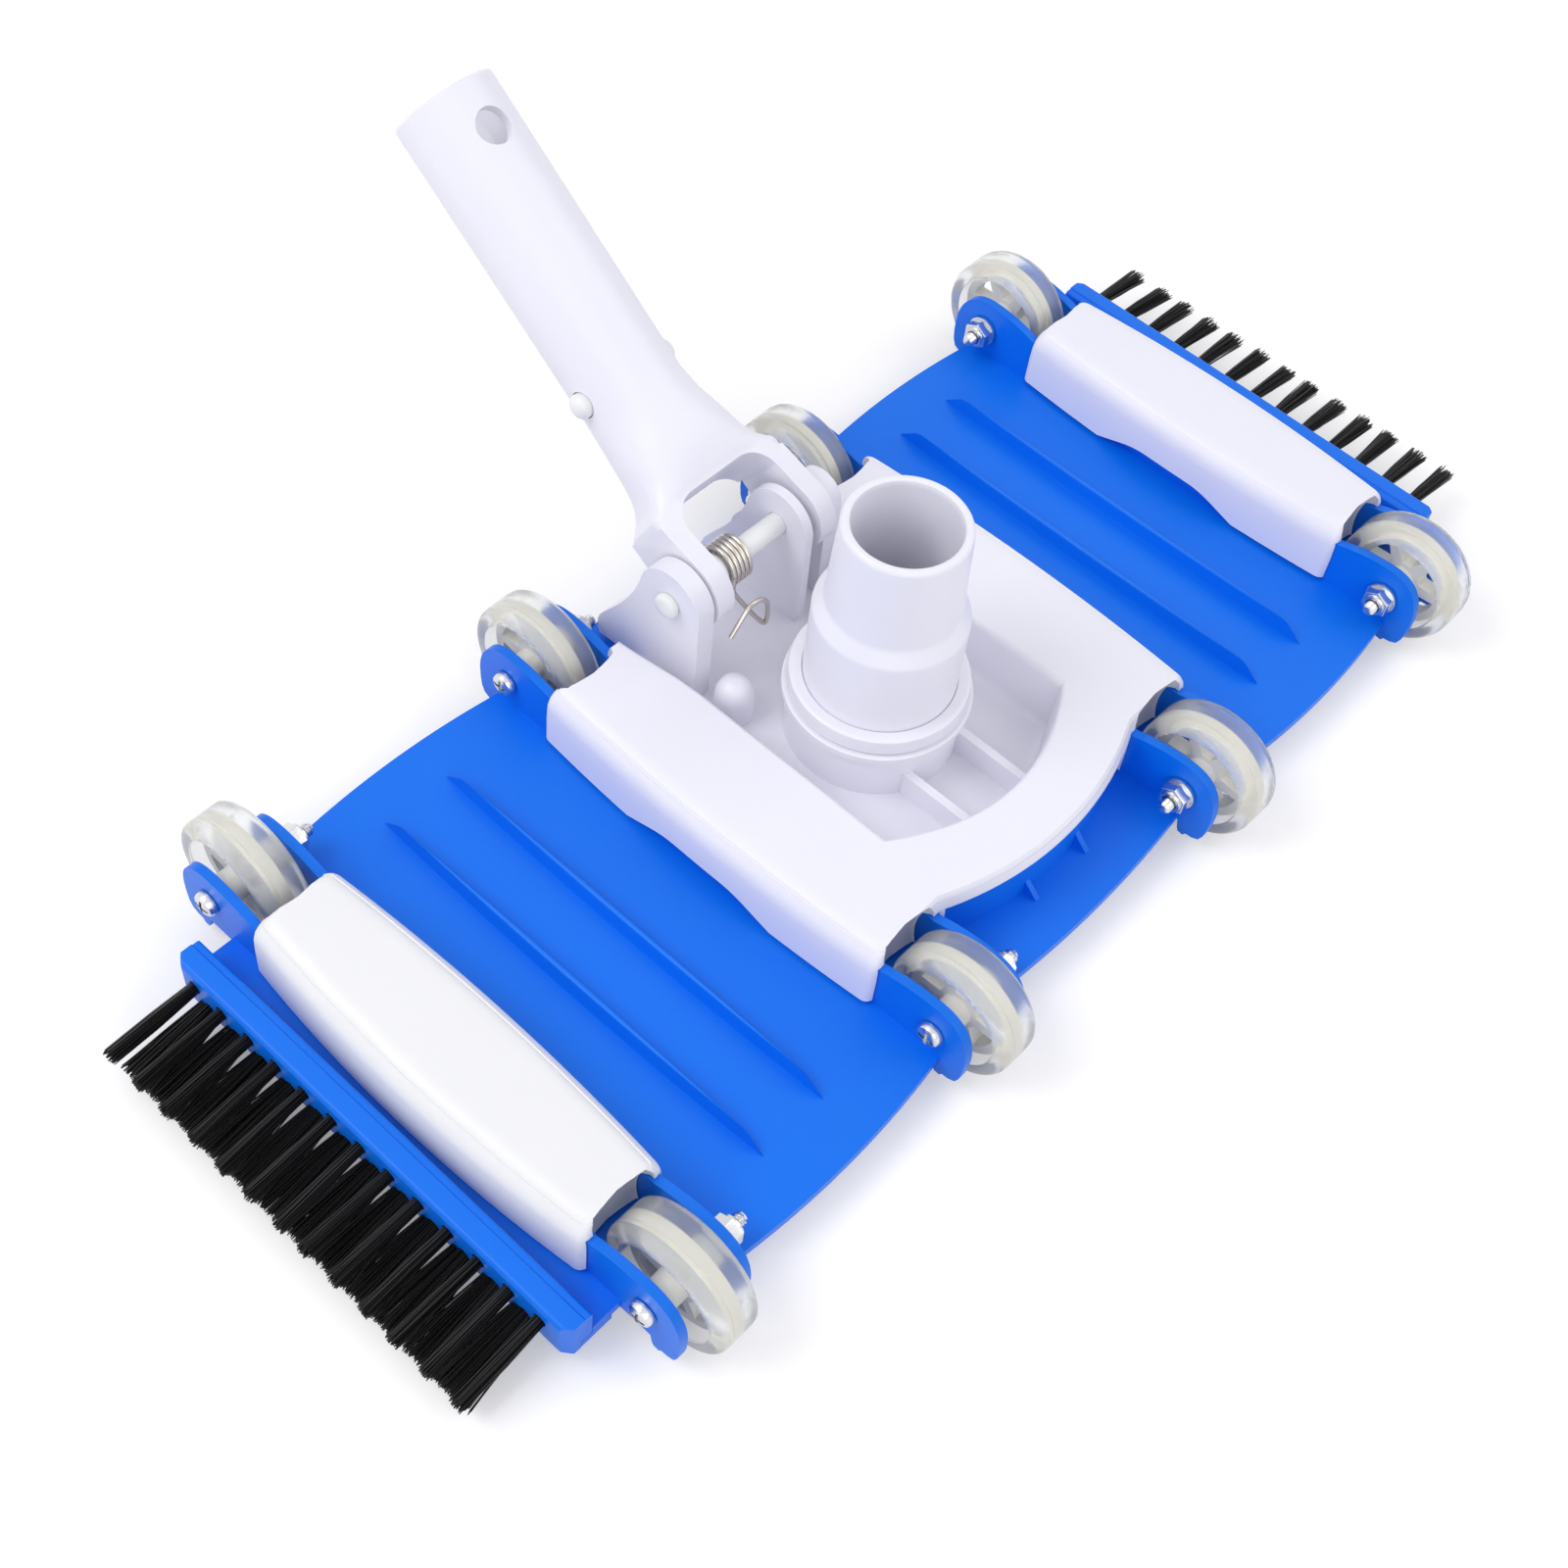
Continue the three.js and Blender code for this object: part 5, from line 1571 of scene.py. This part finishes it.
    def spring(self) -> None:
        """Builds the coil with its hooked leg, and the handle's leg of the same wire."""
        y, z = self.pivot
        steps, wide = self.coil_steps, self.coil_radius
        coil = []
        for i in range(int(self.coil_turns * steps) + 1):
            turn = math.pi - math.tau * i / steps
            x = self.coil_start + self.coil_pitch * i / steps
            coil.append((x, y + wide * math.cos(turn), z + wide * math.sin(turn)))
        tip = [(-20.0, 34.4, 36.0), (-16.7, 34.5, 39.7), (-13.1, 34.8, 42.2), (-10.9, 35.0, 42.2)]
        bow = [(-8.3, 35.3, 41.0), (-5.7, 35.6, 38.5), (-4.1, 35.9, 35.2), (-3.3, 36.2, 30.7)]
        bend = [(-3.1, 36.5, 27.6), (-3.7, 36.8, 26.7), (-5.0, 37.1, 28.3), (-7.8, 38.0, 32.9)]
        bend += [(-11.4, 40.8, 40.2), (-12.2, 41.6, 42.8)]
        dress = self.shop.dress("head", "spring_steel", "torsion_spring")
        hooked = Blank().wire([*tip, *bow, *bend, *coil], self.wire, 12, 2)
        hooked.piece("spring_coil", dress, WIRE_SMOOTH)
        leg = [coil[-1], (-5.5, 56.5, 42.2), (-11.0, 61.5, 42.7), (-14.6, 65.0, 43.4), (-14.8, 72.0, 45.2)]
        dress = self.shop.dress("pole_handle", "spring_steel", "torsion_spring")
        Blank().wire(leg, self.wire, 12, 4).piece("spring_leg", dress, WIRE_SMOOTH)


# ---- studio ----------------------------------------------------------------------------------


def seen_rays(pen: NodePen) -> bpy.types.NodeSocket:
    """Picks the rays that show the background: from the camera, or mirrored, or through glass.

    Args:
        pen: The tree to work in.

    Returns:
        A socket that is one for such a ray.
    """
    rays = pen.add("ShaderNodeLightPath").outputs
    seen = pen.maths("MAXIMUM", rays["Is Camera Ray"], rays["Is Glossy Ray"])
    return pen.maths("MAXIMUM", seen, rays["Is Transmission Ray"])


@dataclass
class Studio:
    """Camera, lamps, world and floor."""

    azimuth: float = -54.192
    elevation: float = 54.037
    roll: float = 8.265
    slide: Point2 = (-21.806, -8.315)
    distance: float = 586.19
    lens: float = 49.31
    sky: tuple[float, ...] = (0.95, 0.955, 1.0, 1.0)
    sky_strength: float = 0.68
    floor_color: tuple[float, ...] = (0.8, 0.79, 0.78, 1.0)
    floor_glow: Point2 = (0.27, 1.0)
    floor_fade: Point2 = (0.3, 1.1)

    def build(self, placing: Matrix) -> None:
        """Builds the whole studio.

        Args:
            placing: The matrix from the millimetre layout to the frame.
        """
        bpy.context.scene.view_settings.view_transform = "Standard"
        self.camera(placing)
        self.lamps()
        self.world()
        self.floor()

    def camera(self, placing: Matrix) -> None:
        """Places the camera at the photograph's viewing angle.

        Args:
            placing: The matrix from the millimetre layout to the frame.
        """
        turn, tilt, roll = (math.radians(a) for a in (self.azimuth, self.elevation, self.roll))
        back = Vector((math.sin(turn) * math.cos(tilt), -math.cos(turn) * math.cos(tilt), math.sin(tilt)))
        level = Vector((math.cos(turn), math.sin(turn), 0.0))
        above = back.cross(level)
        right = level * math.cos(roll) + above * math.sin(roll)
        up = above * math.cos(roll) - level * math.sin(roll)
        spot = right * self.slide[0] + up * self.slide[1] + back * self.distance
        data = bpy.data.cameras.new("camera")
        data.lens = self.lens
        data.sensor_width = 36.0
        data.clip_start, data.clip_end = 0.01, 20.0
        camera = bpy.data.objects.new("camera", data)
        bpy.context.scene.collection.objects.link(camera)
        turned = Matrix((right, up, back)).transposed().to_4x4()
        camera.matrix_world = Matrix.Translation(placing @ spot) @ turned
        bpy.context.scene.camera = camera

    def lamps(self) -> None:
        """Hangs three soft boxes round the object."""
        boxes = (
            ("key_box", (-0.75, 0.55, 1.15), 0.8, 7.6),
            ("fill_box", (0.9, -0.7, 0.9), 1.1, 3.7),
            ("front_box", (-0.7, -0.95, 0.7), 0.8, 3.5),
        )
        for name, spot, size, power in boxes:
            data = bpy.data.lights.new(name, "AREA")
            data.shape = "SQUARE"
            data.size = size
            data.energy = power
            lamp = bpy.data.objects.new(name, data)
            lamp.location = spot
            lamp.rotation_mode = "QUATERNION"
            lamp.rotation_quaternion = (-Vector(spot)).to_track_quat("-Z", "Y")
            bpy.context.scene.collection.objects.link(lamp)

    def world(self) -> None:
        """Lights the surroundings evenly, and shows them white to the camera."""
        world = bpy.data.worlds.new("studio")
        world.use_nodes = True
        bpy.context.scene.world = world
        pen = NodePen(world.node_tree)
        light = next(n for n in world.node_tree.nodes if n.type == "BACKGROUND")
        out = next(n for n in world.node_tree.nodes if n.type == "OUTPUT_WORLD")
        light.inputs["Color"].default_value = self.sky
        light.inputs["Strength"].default_value = self.sky_strength
        shown = pen.add("ShaderNodeBackground", Color=WHITE, Strength=1.0)
        mix = pen.add("ShaderNodeMixShader", seen_rays(pen), light.outputs[0], shown.outputs[0])
        pen.link(mix.outputs[0], out.inputs["Surface"])

    def floor(self) -> None:
        """Lays the pale floor, which turns white to the camera but keeps the shadow."""
        bm = bmesh.new()
        bmesh.ops.create_grid(bm, x_segments=1, y_segments=1, size=6.0)
        bmesh.ops.translate(bm, verts=bm.verts, vec=(0.0, 0.0, -0.0002))
        mesh = bpy.data.meshes.new("floor")
        bm.to_mesh(mesh)
        bm.free()
        floor = bpy.data.objects.new("floor", mesh)
        bpy.context.scene.collection.objects.link(floor)
        pale = bpy.data.materials.new("pale_floor")
        pale.use_nodes = True
        pen = NodePen(pale.node_tree)
        pale.node_tree.nodes.clear()
        plain = pen.add("ShaderNodeBsdfDiffuse", Color=self.floor_color).outputs[0]
        spot = pen.add("ShaderNodeTexCoord").outputs["Object"]
        reach = pen.add("ShaderNodeVectorMath", spot, operation="LENGTH").outputs["Value"]
        near, far = self.floor_fade
        low, high = self.floor_glow
        fade = pen.add(
            "ShaderNodeMapRange", reach, From_Min=near, From_Max=far, To_Min=low, To_Max=high
        ).outputs["Result"]
        glow = pen.add("ShaderNodeEmission", Color=WHITE, Strength=fade)
        both = pen.add("ShaderNodeAddShader", plain, glow.outputs[0])
        mix = pen.add("ShaderNodeMixShader", seen_rays(pen), plain, both.outputs[0])
        pen.add("ShaderNodeOutputMaterial", mix.outputs[0])
        mesh.materials.append(pale)


def main() -> None:
    """Builds every sub-assembly in order."""
    logging.basicConfig(level=logging.INFO, format="%(name)s: %(message)s")
    shop = Workshop.opened()
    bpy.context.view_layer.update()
    Studio().build(shop.placing)
    shop.dress_packed()
    BasePlate(shop).build()
    for side in Side:
        EndCover(shop=shop, side=side).build()
    CentreCover(shop=shop).build()
    HoseConnector(shop).build()
    PoleHandle(shop).build()
    Wheels(shop).build()
    for side in Side:
        SideBrush(shop, side).build()


if __name__ == "__main__":
    main()
